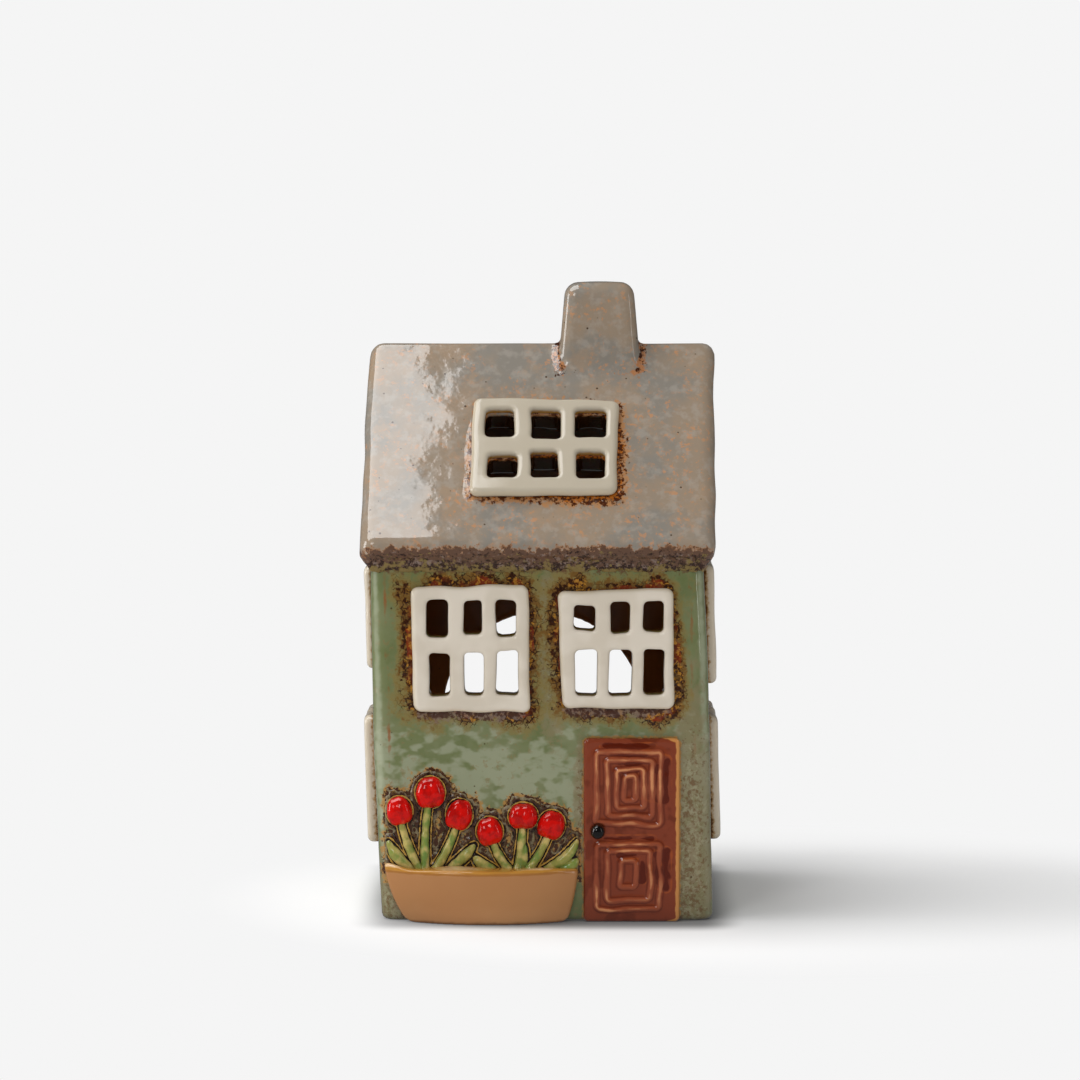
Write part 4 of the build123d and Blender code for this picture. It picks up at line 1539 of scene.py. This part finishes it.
@dataclass(frozen=True)
class FlowerBox:
    """Boat-shaped trough, the rough bed behind it, and six tulips pressed on to the wall."""
    height: float = 14.2
    inset: float = 1.3
    gap: float = 1.3
    left_slant: float = 5.2
    right_slant: float = 2.6
    slant_power: float = 1.9
    foot_corner: float = 2.2
    end_depth: float = 1.6
    top_bulge: float = 8.6
    foot_bulge: float = 6.4
    corner_radius: float = 0.9
    rim_radius: float = 1.1
    rim_flare: float = 0.5
    rim_gap: float = 0.45
    rim_dip: float = 0.25
    rim_lift: float = 0.9
    swell: float = 0.05
    bloom_rise: float = 18.6
    bloom_gap: float = 1.45
    head_height: float = 7.4
    stem_width: float = 2.2
    stem_depth: float = 1.7
    leaf_width: float = 3.0
    leaf_depth: float = 1.6
    bed_margin: float = 1.7
    bed_depth: float = 0.55
    step: float = 0.5
    bed_step: float = 0.32
    bloom_step: float = 0.2
    blooms: tuple = (
        Bloom(0.069, 0.748, 0.94, 0.94, 14.0, 0.177, 0.05, 0.3),
        Bloom(0.231, 1.000, 1.06, 1.03, 3.0, 0.205, 0.03, -0.2),
        Bloom(0.382, 0.698, 0.94, 1.03, -18.0, 0.255, -0.05, 0.4),
        Bloom(0.540, 0.467, 0.94, 0.94, 12.0, 0.640, 0.06, -0.4),
        Bloom(0.715, 0.677, 1.06, 0.86, -2.0, 0.686, -0.02, 0.5),
        Bloom(0.863, 0.557, 0.97, 0.95, -20.0, 0.742, -0.05, -0.3))
    leaves: tuple = (
        Leaf(0.152, 0.010, 0.350, 0.10), Leaf(0.308, 0.465, 0.300, -0.06), Leaf(0.585, 0.458, 0.140, 0.12),
        Leaf(0.802, 1.000, 0.364, -0.13), Leaf(0.885, 1.000, 0.100, -0.13), Leaf(0.713, 0.719, 0.310, 0.03))

    @property
    def left(self) -> float:
        """Left end of the rim."""
        return self.inset - HOUSE.half_width

    @property
    def width(self) -> float:
        """Width of the rim, from the wall's left corner to the door."""
        return HOUSE.body_width - self.inset - self.gap - DOOR.width - DOOR.inset

    @property
    def head_width(self) -> float:
        """Width of a bloom of plain size."""
        return self.width / len(self.blooms) - self.bloom_gap

    def spot(self, across: float, up: float) -> Array:
        """Place on the wall above the box, at shares of the box's width and the bloom rise."""
        return np.array((self.left + across * self.width, -HOUSE.half_depth,
                         self.height + up * self.bloom_rise))

    def trough(self, points: Array) -> Array:
        """Distance to the trough.

        Args:
            points: places in mm.

        Returns:
            The distance at each point.
        """
        x, y, z = points.T
        share = np.clip(z / self.height, 0.0, 1.0)
        left = self.left + self.left_slant * (1 - share) ** self.slant_power
        right = self.left + self.width - self.right_slant * (1 - share) ** self.slant_power
        bulge = self.foot_bulge + share * (self.top_bulge - self.foot_bulge)
        half, middle = (right - left) / 2, (left + right) / 2
        sagitta = bulge - self.end_depth
        radius = (half ** 2 + sagitta ** 2) / (2 * sagitta)
        depth = -HOUSE.half_depth - y
        front = np.hypot(x - middle, depth - bulge + radius) - radius
        ends = np.abs(x - middle) - half - self.rim_flare * share ** 6
        belly = round_meet(self.corner_radius, front, ends) - self.swell * Ripple(16.0, 91).at(points)
        dip = self.rim_dip * Ripple(15.0, 92).at(points) - self.rim_lift * smooth_step(left + 7.0, left, x)
        low = -z
        whole = round_meet(self.rim_radius, belly, dip + self.rim_gap - self.height - low, -depth - 0.25)
        return np.maximum(round_meet(0.4, whole, low), round_meet(self.foot_corner, ends, low))

    def nearest(self, points: Array) -> Array:
        """Distance along the front wall from the nearest bloom, stem or leaf.

        Args:
            points: places in mm.

        Returns:
            The distance, negative under one.
        """
        flat = points * np.array((1.0, 0.0, 1.0))
        found = np.full(len(points), 99.0)
        for bloom in self.blooms:
            centre = self.spot(bloom.across, bloom.up)
            radii = bloom.wide * self.head_width / 2, 1.0, bloom.tall * self.head_height / 2
            found = np.minimum(found, egg(flat, (centre[0], 0.0, centre[2]), radii))
        for sprig in sum(self.sprigs(), []):
            for share in np.linspace(0.0, 1.0, 22):
                centre, radius = sprig.at(share)
                away = np.hypot(flat[:, 0] - centre[0], flat[:, 2] - centre[2])
                found = np.minimum(found, away - radius)
        return found

    def sprigs(self) -> tuple[list["Sprig"], list["Sprig"]]:
        """The stems and the leaves."""
        stems = [Sprig(self.spot(bloom.foot, -0.06), self.spot(bloom.across, bloom.up), bloom.bow,
                       self.stem_width, self.stem_depth, 0.0) for bloom in self.blooms]
        leaves = [Sprig(self.spot(leaf.foot, -0.07), self.spot(leaf.tip_across, leaf.tip_up), leaf.bow,
                        self.leaf_width, self.leaf_depth, 1.0) for leaf in self.leaves]
        return stems, leaves

    def distance(self, points: Array) -> Array:
        """Distance along the front wall from the planted bed's outline.

        Args:
            points: places in mm.

        Returns:
            The distance, negative inside and large away from the front wall.
        """
        x, y, z = points.T
        flat = points * np.array((1.0, 0.0, 1.0))
        beside = np.abs(x - self.left - self.width / 2) - self.width / 2
        above = np.maximum(beside + 1.0, np.abs(z - self.height) - 1.5)
        edge = soft_join(self.nearest(points), above, 1.0) - self.bed_margin
        edge = edge + 0.5 * Ripple(4.0, 93).at(flat) + 0.25 * Ripple(1.7, 94).at(flat)
        edge = np.maximum(edge, beside - 0.2)
        return np.where(np.abs(y + HOUSE.half_depth) < 3.0, edge, 99.0)

    def bed(self, points: Array) -> Array:
        """Distance to the rough patch of slip behind the tulips.

        Args:
            points: places in mm.

        Returns:
            The distance at each point.
        """
        out = -HOUSE.half_depth - points[:, 1]
        edge = self.distance(points)
        # Full depth inside the bed, with crumbs and with tool marks that follow the sprigs
        face = self.bed_depth * smooth_step(0.6, -1.6, edge)
        rows = self.nearest(points) / 1.15 + 0.25 * Ripple(3.0, 97).at(points)
        face = face + 0.07 * np.cos(math.tau * rows)
        face = face + 0.10 * Ripple(2.2, 95).at(points) + 0.02 * Ripple(1.1, 96).at(points)
        return np.maximum(np.maximum(edge * 0.6, out - face), np.maximum(-out - 0.6, 12.0 - points[:, 2]))

    def bloom(self, flower: Bloom) -> Field:
        """Form of one tulip head: a bud with three petals folded over it.

        Args:
            flower: which head.

        Returns:
            The function that gives its distance.
        """
        centre = self.spot(flower.across, flower.up)
        width, height = flower.wide * self.head_width, flower.tall * self.head_height
        tilt = math.radians(flower.tilt)
        right = np.array((math.cos(tilt), 0.0, math.sin(tilt)))
        up = np.array((-math.sin(tilt), 0.0, math.cos(tilt)))
        place = Plane(centre, right, up, np.array((0.0, -1.0, 0.0)))

        def form(points: Array) -> Array:
            """Distance of points, in mm, to the head."""
            # Middles and half sizes are shares of the bloom's width and height
            local = np.stack(place.local(points), axis=1)
            whole = egg(local, (0, -0.02 * height, 0.05 * width),
                        (0.48 * width, 0.50 * height, 0.42 * width))
            for side, lift in ((-1, 0.0), (1, 0.02)):
                lean = local[:, 1] * 0.10 * side
                petal = np.stack([local[:, 0] - side * 0.17 * width + lean, *local.T[1:]], axis=1)
                petal = egg(petal, (0, lift * height, 0.10 * width),
                            (0.35 * width, 0.50 * height, 0.38 * width))
                whole = soft_join(whole, petal, 0.35)
            fold = local - np.array((flower.turn * 0.22 * width, 0.0, 0.0))
            front = egg(fold, (0, -0.07 * height, 0.20 * width), (0.26 * width, 0.42 * height, 0.31 * width))
            whole = soft_join(whole, front, 0.25)
            whole = whole - 0.05 * Ripple(4.0, int(flower.across * 1000)).at(points)
            return np.maximum(whole, -local[:, 2] - 0.3)

        return form

    def build(self) -> None:
        """Meshes the trough, the bed, the blooms, the stems and the leaves."""
        front = -HOUSE.half_depth - self.top_bulge
        low = (self.left - 0.6, front, 0.0)
        high = (self.left + self.width + 0.6, -HOUSE.half_depth + 0.3, self.height)
        points, squares = ClayMesher(self.step).mesh(self.trough, low, high)
        trough = new_piece("trough", points, squares, {"up": points[:, 2]})
        dress(trough, CARAMEL, "house", "trough_glaze", "flower_box")
        low = (self.left - 1.0, -HOUSE.half_depth - 1.6, 12.0)
        high = (self.left + self.width + 1.0, -HOUSE.half_depth + 0.6, self.height + self.bloom_rise + 8.0)
        fine = ClayMesher(self.bed_step)
        points, squares = fine.mesh(self.bed, low, high)
        values = {"edge": -self.distance(points), "turn": fine.turn(self.bed, points),
                  "near": self.nearest(points)}
        dress(new_piece("planted_bed", points, squares, values), UMBER, "house", "wall_glaze")
        for number, flower in enumerate(self.blooms, start=1):
            self.head(number, flower)
        stems, leaves = self.sprigs()
        for number, stem in enumerate(stems, start=1):
            stem.build(f"stem_{number}", "stem_glaze", f"tulip_stem_{number}")
        for number, leaf in enumerate(leaves, start=1):
            leaf.build(f"leaf_blade_{number}", "leaf_glaze", f"leaf_{number}")

    def head(self, number: int, flower: Bloom) -> None:
        """Meshes one tulip head.

        Args:
            number: its number, from the left.
            flower: which head.
        """
        form, fine = self.bloom(flower), ClayMesher(self.bloom_step)
        centre = self.spot(flower.across, flower.up)
        reach = self.head_height * 0.62
        low, high = centre - reach, centre + reach
        high[1] = centre[1] + 0.3
        points, squares = fine.mesh(form, low, high)
        values = {"crest": smooth_step(0.8, 2.2, fine.turn(form, points)), "rise": centre[1] - points[:, 1]}
        head = new_piece(f"tulip_{number}", points, squares, values)
        dress(head, POPPY, "house", "bloom_glaze", f"tulip_head_{number}")


@dataclass(frozen=True)
class Sprig:
    """A stem or a leaf: a bowed run on the wall with a half-round body."""
    foot: Array
    tip: Array
    bow: float
    width: float
    depth: float
    point: float
    sink: float = 0.35
    steps: int = 40
    sides: int = 20
    foot_share: float = 1.12
    taper: float = 0.30
    bluntness: float = 0.42

    def middle(self) -> Array:
        """The point that pulls its run to one side, in mm."""
        run = self.tip - self.foot
        return (self.foot + self.tip) / 2 + 2 * self.bow * np.array((-run[2], 0.0, run[0]))

    def at(self, share: float) -> tuple[Array, float]:
        """A place on its run and its half width there.

        Args:
            share: how far along, 0 at the foot and 1 at the tip.

        Returns:
            The place and the half width, in mm.
        """
        rest = 1 - share
        place = rest ** 2 * self.foot + 2 * share * rest * self.middle() + share ** 2 * self.tip
        stem = self.foot_share - self.taper * share
        leaf = math.sin(math.pi * share) ** self.bluntness if 0 < share < 1 else 0.0
        return place, self.width / 2 * ((1 - self.point) * stem + self.point * leaf)

    def build(self, name: str, slot: str, node: str) -> None:
        """Presses the sprig along its run.

        Args:
            name: the piece's name.
            slot: the slot of its glaze, passed on to dress.
            node: the CAD node that it stands for.
        """
        curve = bpy.data.curves.new(name, "CURVE")
        curve.dimensions = "3D"
        line = curve.splines.new("NURBS")
        line.points.add(2)
        for point, spot in zip(line.points, (self.foot, self.middle(), self.tip)):
            point.co = (*(spot * MM), 1.0)
        line.order_u = 3
        line.use_endpoint_u = True
        source = put(name + "_run", curve)
        values = {"Width": self.width * MM, "Depth": self.depth * MM, "Point": self.point,
                  "Sink": self.sink * MM, "Wall": -HOUSE.half_depth * MM, "Steps": self.steps,
                  "Sides": self.sides, "Glaze": MOSS.material()}
        piece = grow(name, source, SPRIG.group(), values)
        rises = [-HOUSE.half_depth - vertex.co.y / MM for vertex in piece.data.vertices]
        layer = piece.data.attributes.new("rise", "FLOAT", "POINT")
        layer.data.foreach_set("value", np.array(rises, dtype=np.float32))
        dress(piece, MOSS, "house", slot, node)


@dataclass(frozen=True)
class SprigTree:
    """Geometry Nodes that press a half-round body of clay along a run on the wall."""
    name: str = "pressed_sprig"
    unevenness: float = 0.16
    lump_length: float = 2.4
    tip_radius: float = 0.08

    def group(self) -> NodeTree:
        """The node tree, built on its first use."""
        return bpy.data.node_groups.get(self.name) or self._build()

    def _build(self) -> NodeTree:
        """Builds the tree: a tapered tube along the run, flattened on to the wall."""
        tree, given = new_tree(self.name, {
            "Width": "Float", "Depth": "Float", "Point": "Float", "Sink": "Float", "Wall": "Float",
            "Steps": "Int", "Sides": "Int", "Glaze": "Material"})
        run = add(tree, "GeometryNodeResampleCurve", {"Curve": given["Geometry"], "Count": given["Steps"]})
        along = add(tree, "GeometryNodeSplineParameter").outputs["Factor"]
        noise = add(tree, NOISE, {"Scale": 1 / (self.lump_length * MM), "Detail": 1.0})
        uneven = add(tree, RANGE, {"Value": noise, "From Min": 0.2, "From Max": 0.8,
                                   "To Min": 1 - self.unevenness, "To Max": 1 + self.unevenness})
        blade = chain(tree, MATH, along, ("MULTIPLY", math.pi), ("SINE",), ("POWER", Sprig.bluntness))
        stem = add(tree, RANGE, {"Value": along, "To Min": Sprig.foot_share,
                                 "To Max": Sprig.foot_share - Sprig.taper})
        shape = add(tree, "ShaderNodeMix", {0: given["Point"], 2: stem, 3: blade})
        half = chain(tree, MATH, shape, ("MULTIPLY", uneven), ("MULTIPLY", given["Width"]), ("MULTIPLY", 0.5),
                     ("MAXIMUM", self.tip_radius * MM))
        ring = add(tree, "GeometryNodeCurvePrimitiveCircle", {"Resolution": given["Sides"], "Radius": 1.0})
        tube = add(tree, "GeometryNodeCurveToMesh", {
            "Curve": run, "Profile Curve": ring, "Scale": half, "Fill Caps": True})
        place = add(tree, "ShaderNodeSeparateXYZ", {0: add(tree, "GeometryNodeInputPosition")})
        ratio = chain(tree, MATH, given["Depth"], ("DIVIDE", given["Width"]))
        sunk = chain(tree, MATH, given["Sink"], ("MULTIPLY", -1.0))
        proud = chain(tree, MATH, given["Wall"], ("SUBTRACT", place.outputs["Y"]), ("MULTIPLY", ratio),
                      ("MULTIPLY", 2.0), ("MAXIMUM", sunk))
        moved = add(tree, "ShaderNodeCombineXYZ", {
            "X": place.outputs["X"], "Y": chain(tree, MATH, given["Wall"], ("SUBTRACT", proud)),
            "Z": place.outputs["Z"]})
        laid = add(tree, "GeometryNodeSetPosition", {"Geometry": tube, "Position": moved})
        close_tree(tree, add(tree, "GeometryNodeSetShadeSmooth", {"Geometry": laid}), given["Glaze"])
        return tree


SPRIG = SprigTree()


# Tealight

@dataclass(frozen=True)
class CupTree:
    """Geometry Nodes that press the pleats into the side of a tealight cup."""
    name: str = "pleated_cup"
    low_fade: float = 1.5
    high_fade: float = 2.0

    def group(self) -> NodeTree:
        """Builds the tree: each point of the side moves out and in with its angle.

        Returns:
            The tree.
        """
        tree, given = new_tree(self.name, {
            "Pleats": "Int", "Depth": "Float", "Across": "Float", "Low": "Float", "High": "Float",
            "Metal": "Material"})
        place = add(tree, "ShaderNodeSeparateXYZ", {0: add(tree, "GeometryNodeInputPosition")})
        off = chain(tree, MATH, place.outputs["X"], ("SUBTRACT", given["Across"]))
        wave = chain(tree, MATH, place.outputs["Y"], ("ARCTAN2", off), ("MULTIPLY", given["Pleats"]),
                     ("COSINE",), ("SUBTRACT", 1.0))
        bands = [add(tree, RANGE, {"Value": place.outputs["Z"], "From Min": given[end],
                                   "From Max": chain(tree, MATH, given[end], ("ADD", fade * MM))})
                 for end, fade in (("Low", self.low_fade), ("High", -self.high_fade))]
        size = chain(tree, MATH, wave, ("MULTIPLY", given["Depth"]), ("MULTIPLY", bands[0]),
                     ("MULTIPLY", bands[1]), ("MULTIPLY", 0.5))
        out = add(tree, "ShaderNodeCombineXYZ", {"X": off, "Y": place.outputs["Y"]})
        shift = add(tree, VECTOR, {0: chain(tree, VECTOR, out, ("NORMALIZE",)), "Scale": size},
                    operation="SCALE")
        pressed = add(tree, "GeometryNodeSetPosition", {"Geometry": given["Geometry"], "Offset": shift})
        close_tree(tree, pressed, given["Metal"])
        return tree


@dataclass(frozen=True)
class StrandTree:
    """Geometry Nodes that lay the strands of a wick round its middle line."""
    name: str = "braided_wick"

    def group(self) -> NodeTree:
        """Builds the tree: turned copies of one wound strand, each a tube.

        Returns:
            The tree.
        """
        tree, given = new_tree(self.name, {
            "Strands": "Int", "Strand Radius": "Float", "Winding Radius": "Float", "Turns": "Float",
            "Foot": "Vector", "Height": "Float", "Cotton": "Material"})
        line = add(tree, "GeometryNodeCurveSpiral", {
            "Resolution": 40, "Rotations": given["Turns"], "Start Radius": given["Winding Radius"],
            "End Radius": given["Winding Radius"], "Height": given["Height"]})
        spots = add(tree, "GeometryNodePoints", {"Count": given["Strands"], "Position": given["Foot"]})
        step = add(tree, MATH, {0: math.tau, 1: given["Strands"]}, operation="DIVIDE")
        angle = chain(tree, MATH, add(tree, "GeometryNodeInputIndex"), ("MULTIPLY", step))
        copies = add(tree, "GeometryNodeInstanceOnPoints", {
            "Points": spots, "Instance": line, "Rotation": add(tree, "ShaderNodeCombineXYZ", {"Z": angle})})
        ring = add(tree, "GeometryNodeCurvePrimitiveCircle", {
            "Resolution": 10, "Radius": given["Strand Radius"]})
        tube = add(tree, "GeometryNodeCurveToMesh", {
            "Curve": add(tree, "GeometryNodeRealizeInstances", {0: copies}), "Profile Curve": ring,
            "Fill Caps": True})
        close_tree(tree, add(tree, "GeometryNodeSetShadeSmooth", {"Geometry": tube}), given["Cotton"])
        return tree


@dataclass(frozen=True)
class Tealight:
    """The loose tealight: a pleated cup, its wax, a braided wick and the wick's foot."""
    diameter: float = 38.0
    height: float = 16.0
    wall: float = 0.5
    rim_width: float = 0.8
    rim_height: float = 0.9
    wax_depth: float = 12.5
    wick_diameter: float = 1.5
    wick_rise: float = 6.0
    tab_thickness: float = 0.4
    collar_height: float = 3.0
    pleats: int = 60
    pleat_depth: float = 0.14
    sides: int = 360
    strands: int = 3
    wick_turns: float = 4.5

    @property
    def foot(self) -> tuple[float, float, float]:
        """Middle of the cup's underside, on the floor slab."""
        return HOUSE.arch_centre, 0.0, HOUSE.base_thickness

    def turned(self, name: str, outline: list[tuple[float, float]]) -> Object:
        """Turns an outline about the tealight's middle line.

        Args:
            name: the piece's name.
            outline: radius and height of each point, closed on the middle line or on itself.

        Returns:
            The object.
        """
        angles = np.arange(self.sides) * math.tau / self.sides
        points, faces, rows = [], [], []
        for radius, height in outline:
            if radius == 0:
                rows.append([len(points)] * self.sides)
                points.append((0.0, 0.0, height))
                continue
            rows.append(list(range(len(points), len(points) + self.sides)))
            points += [(radius * math.cos(a), radius * math.sin(a), height) for a in angles]
        closed = outline[0][0] > 0
        for lower, upper in zip(rows, rows[1:] + ([rows[0]] if closed else [])):
            for here in range(self.sides):
                there = (here + 1) % self.sides
                ring = [lower[here], lower[there], upper[there], upper[here]]
                faces.append(list(dict.fromkeys(ring)))
        return new_piece(name, np.array(points) + self.foot, faces)

    def cup(self) -> None:
        """Turns the cup and presses its pleats."""
        out, inner, top = self.diameter / 2, self.diameter / 2 - self.wall, self.height
        rim, low = out + self.rim_width, top - self.rim_height
        outline = [(0, 0.25), (out - 4.0, 0.25), (out - 2.6, 0.0), (out - 0.9, 0.0), (out - 0.3, 0.25),
                   (out, 0.8)]
        outline += [(out, z) for z in np.linspace(1.4, low - 0.4, 16)]
        outline += [(out + 0.12, low - 0.1), (rim - 0.3, low + 0.02), (rim, low + 0.3), (rim, top - 0.3),
                    (rim - 0.3, top), (out - 0.1, top), (inner + 0.05, top - 0.2), (inner, top - 0.6)]
        outline += [(inner, z) for z in np.linspace(top - 1.4, 1.2, 12)]
        outline += [(inner - 0.2, 0.7), (inner - 0.8, self.wall + 0.02), (0, self.wall + 0.02)]
        source = self.turned("cup_blank", outline)
        values = {"Pleats": self.pleats, "Depth": self.pleat_depth * MM, "Across": self.foot[0] * MM,
                  "Low": (self.foot[2] + 0.8) * MM, "High": (self.foot[2] + low - 0.3) * MM,
                  "Metal": ALUMINIUM.material()}
        piece = grow("pleated_cup", source, CupTree().group(), values)
        dress(piece, ALUMINIUM, "tealight", "cup_metal", "tealight_cup")

    def wax(self) -> None:
        """Turns the wax, with its crept edge and the hollow that it set in round the wick."""
        edge = self.diameter / 2 - self.wall - self.pleat_depth - 0.08
        low, top = self.wall + 0.06, self.wall + self.wax_depth
        hole = self.wick_diameter / 2 - 0.05
        outline = [(0, low), (edge - 0.9, low), (edge - 0.2, low + 0.5), (edge, low + 1.0)]
        outline += [(edge, top - 0.55), (edge - 0.25, top - 0.15)]
        radii = np.linspace(edge - 0.6, hole, 26)
        climb = 0.55 * np.exp(-(edge - 0.6 - radii) / 0.8)
        dish = -0.55 + 0.25 * (radii / edge) ** 2 - 0.45 * np.exp(-((radii - hole) / 4.0) ** 2)
        skin = 0.5 * np.exp(-(radii - hole) / 0.5)
        outline += [(r, top + d + c + s) for r, d, c, s in zip(radii, dish, climb, skin)]
        outline += [(0, top - 0.4)]
        dress(self.turned("wax_fill", outline), PARAFFIN, "tealight", "wax", "tealight_wax")

    def wick(self) -> None:
        """Lays the wick's strands."""
        source = put("wick_start", bpy.data.meshes.new("wick_start"))
        low = self.wall + self.tab_thickness + self.collar_height
        strand = self.wick_diameter * 0.27
        values = {"Strands": self.strands, "Strand Radius": strand * MM,
                  "Winding Radius": (self.wick_diameter / 2 - strand) * MM, "Turns": self.wick_turns,
                  "Foot": tuple(MM * (a + b) for a, b in zip(self.foot, (0, 0, low))),
                  "Height": (self.wall + self.wax_depth + self.wick_rise - low - 0.4) * MM,
                  "Cotton": COTTON.material()}
        piece = grow("braided_wick", source, StrandTree().group(), values)
        dress(piece, COTTON, "tealight", "wick", "tealight_wick")

    def build(self) -> None:
        """Makes the tealight's pieces and finishes the foot of its wick."""
        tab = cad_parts["wick_tab"]
        tab.data.materials.clear()
        tab.data.materials.append(TINPLATE.material())
        self.cup()
        self.wax()
        self.wick()


# Studio

@dataclass(frozen=True)
class Lamp:
    """A soft box: its place, what it faces, its size and its power."""
    name: str
    place: tuple
    target: tuple
    size: tuple
    power: float
    mirrored: bool = True

    def hang(self) -> None:
        """Hangs the lamp in the studio."""
        light = bpy.data.lights.new(self.name, "AREA")
        light.shape = "RECTANGLE"
        light.size, light.size_y = self.size
        light.energy = self.power
        lamp = put(self.name, light)
        lamp.visible_camera = False
        lamp.visible_glossy = self.mirrored
        lamp.location = self.place
        aim = Vector(self.target) - Vector(self.place)
        lamp.rotation_euler = aim.to_track_quat("-Z", "Y").to_euler()


@dataclass(frozen=True)
class Studio:
    """A pale table and backdrop, soft lamps and the camera."""
    backdrop: str = "#f5f5f5"
    table: str = "#fafafa"
    # Colour and reach of the painted soft shadow on the paper round the house's foot
    shade: str = "#8c8c8c"
    shade_half: tuple = (0.038, 0.040, 1.0)
    shade_reach: float = 0.014
    dusk: str = "#424242"
    table_half: float = 12.0
    shadow_middle: tuple = (0.055, -0.002, 0.0)
    shadow_reach: tuple = (0.15, 0.11, 1.0)
    near: float = 0.55
    paper_front: float = -0.39
    sheen: float = 0.22
    ambient: float = 0.30
    camera_place: tuple = (-0.00178, -1.037, 0.190)
    camera_tilt: float = 5.3428
    lens: float = 133.87
    sensor: float = 36.0
    lamps: tuple = (
        Lamp("overhead_box", (-0.40, -0.03, 0.80), (-0.40, -0.03, 0.0), (0.71, 0.52), 5.6),
        Lamp("left_box", (-0.75, -0.05, 0.24), (0.0, 0.0, 0.08), (0.26, 0.44), 1.9),
        Lamp("key_window", (-0.45, -0.95, 0.62), (0.0, 0.0, 0.06), (0.28, 0.36), 1.5),
        Lamp("front_fill", (0.20, -1.6, 0.74), (0.0, 0.0, 0.07), (1.2, 0.5), 6.3, mirrored=False),
        Lamp("right_strip", (0.55, -0.30, 0.25), (0.0, 0.0, 0.09), (0.05, 0.5), 0.25),
    )

    def build(self) -> None:
        """Sets up the table, the world, the lamps, the camera and the view."""
        self._table()
        self._world()
        for lamp in self.lamps:
            lamp.hang()
        self._camera()
        bpy.context.scene.view_settings.view_transform = "Standard"

    def _table(self) -> None:
        """Lays the table, with a painted shadow at the house's foot, turning into the plain backdrop away
        from it.
        """
        half = self.table_half
        mesh = bpy.data.meshes.new("table_top")
        mesh.from_pydata([(-half, -half, 0), (half, -half, 0), (half, half, 0), (-half, half, 0)], [],
                         [(0, 1, 2, 3)])
        table = put("table_top", mesh)
        finish = bpy.data.materials.new("paper_backdrop_matt")
        finish.use_nodes = True
        tree = finish.node_tree
        tree.nodes.clear()
        place = add(tree, "ShaderNodeTexCoord").outputs["Object"]
        radius = chain(tree, VECTOR, place, ("SUBTRACT", self.shadow_middle), ("DIVIDE", self.shadow_reach),
                       ("LENGTH",)).outputs["Value"]
        away = add(tree, RANGE, {"Value": radius, "From Min": self.near, "From Max": 1.0},
                   interpolation_type="SMOOTHSTEP")
        share = chain(tree, MATH, away, ("MULTIPLY", self._seen(tree)))
        # Painted shadow: the paper turns grey round the house's footprint
        beyond = chain(tree, VECTOR, place, ("ABSOLUTE",), ("SUBTRACT", self.shade_half),
                       ("MAXIMUM", (0, 0, 0)), ("LENGTH",)).outputs["Value"]
        clear = add(tree, RANGE, {"Value": beyond, "From Max": self.shade_reach},
                    interpolation_type="SMOOTHERSTEP")
        shadowed_paper_colour = add(tree, "ShaderNodeMix", {0: clear, 6: linear(self.shade), 7: linear(self.table)},
                   data_type="RGBA").outputs[2]
        glow, dusk, sheet = (add(tree, "ShaderNodeEmission", {"Color": linear(colour), "Strength": strength})
                             for colour, strength in ((self.backdrop, 1.0), (self.dusk, 1.0),
                                                      (self.backdrop, self.sheen)))
        mix = add(tree, "ShaderNodeMixShader", {
            0: share, 1: add(tree, "ShaderNodeBsdfDiffuse", {"Color": shadowed_paper_colour}), 2: glow})
        mirrored = add(tree, "ShaderNodeLightPath").outputs["Is Glossy Ray"]
        ahead = add(tree, "ShaderNodeSeparateXYZ", {0: place}).outputs["Y"]
        dim = chain(tree, MATH, ahead, ("LESS_THAN", self.paper_front), ("MULTIPLY", mirrored))
        near = add(tree, "ShaderNodeMixShader", {0: mirrored, 1: mix, 2: sheet})
        both = add(tree, "ShaderNodeMixShader", {0: dim, 1: near, 2: dusk})
        add(tree, "ShaderNodeOutputMaterial", {"Surface": both})
        mesh.materials.append(finish)

    @staticmethod
    def _seen(tree: NodeTree) -> NodeSocket:
        """1 where the eye sees a surface, straight or through a clear body."""
        path = add(tree, "ShaderNodeLightPath").outputs
        return chain(tree, MATH, path["Is Camera Ray"], ("MAXIMUM", path["Is Transmission Ray"])).outputs[0]

    def _world(self) -> None:
        """Sets the even light of the room and the plain backdrop that the eye sees."""
        world = bpy.data.worlds.new("studio")
        world.use_nodes = True
        tree = world.node_tree
        tree.nodes.clear()
        room, dusk, wall = (add(tree, "ShaderNodeBackground", {"Color": linear(colour), "Strength": strength})
                            for colour, strength in (("#ffffff", self.ambient), (self.dusk, 1.0),
                                                     (self.backdrop, 1.0)))
        mirrored = add(tree, "ShaderNodeLightPath").outputs["Is Glossy Ray"]
        dim = add(tree, "ShaderNodeMixShader", {0: mirrored, 1: room, 2: dusk})
        mix = add(tree, "ShaderNodeMixShader", {0: self._seen(tree), 1: dim, 2: wall})
        add(tree, "ShaderNodeOutputWorld", {"Surface": mix})
        bpy.context.scene.world = world

    def _camera(self) -> None:
        """Places the camera at the photograph's viewing angle."""
        lens = bpy.data.cameras.new("camera")
        lens.lens, lens.sensor_width = self.lens, self.sensor
        lens.clip_start, lens.clip_end = 0.01, 50.0
        camera = put("camera", lens)
        camera.location = self.camera_place
        camera.rotation_euler = (math.radians(90 - self.camera_tilt), 0.0, 0.0)
        bpy.context.scene.camera = camera


def main() -> None:
    """Builds each sub-assembly in order, then the studio."""
    logging.basicConfig(level=logging.INFO, format="%(relativeCreated)7d ms %(message)s")
    Studio().build()
    plates = window_plates()
    box = FlowerBox()
    HouseBody(plates).build(box)
    Roof(plates).build()
    for plate in plates:
        plate.build()
    DOOR.build()
    box.build()
    Tealight().build()


if __name__ == "__main__":
    main()
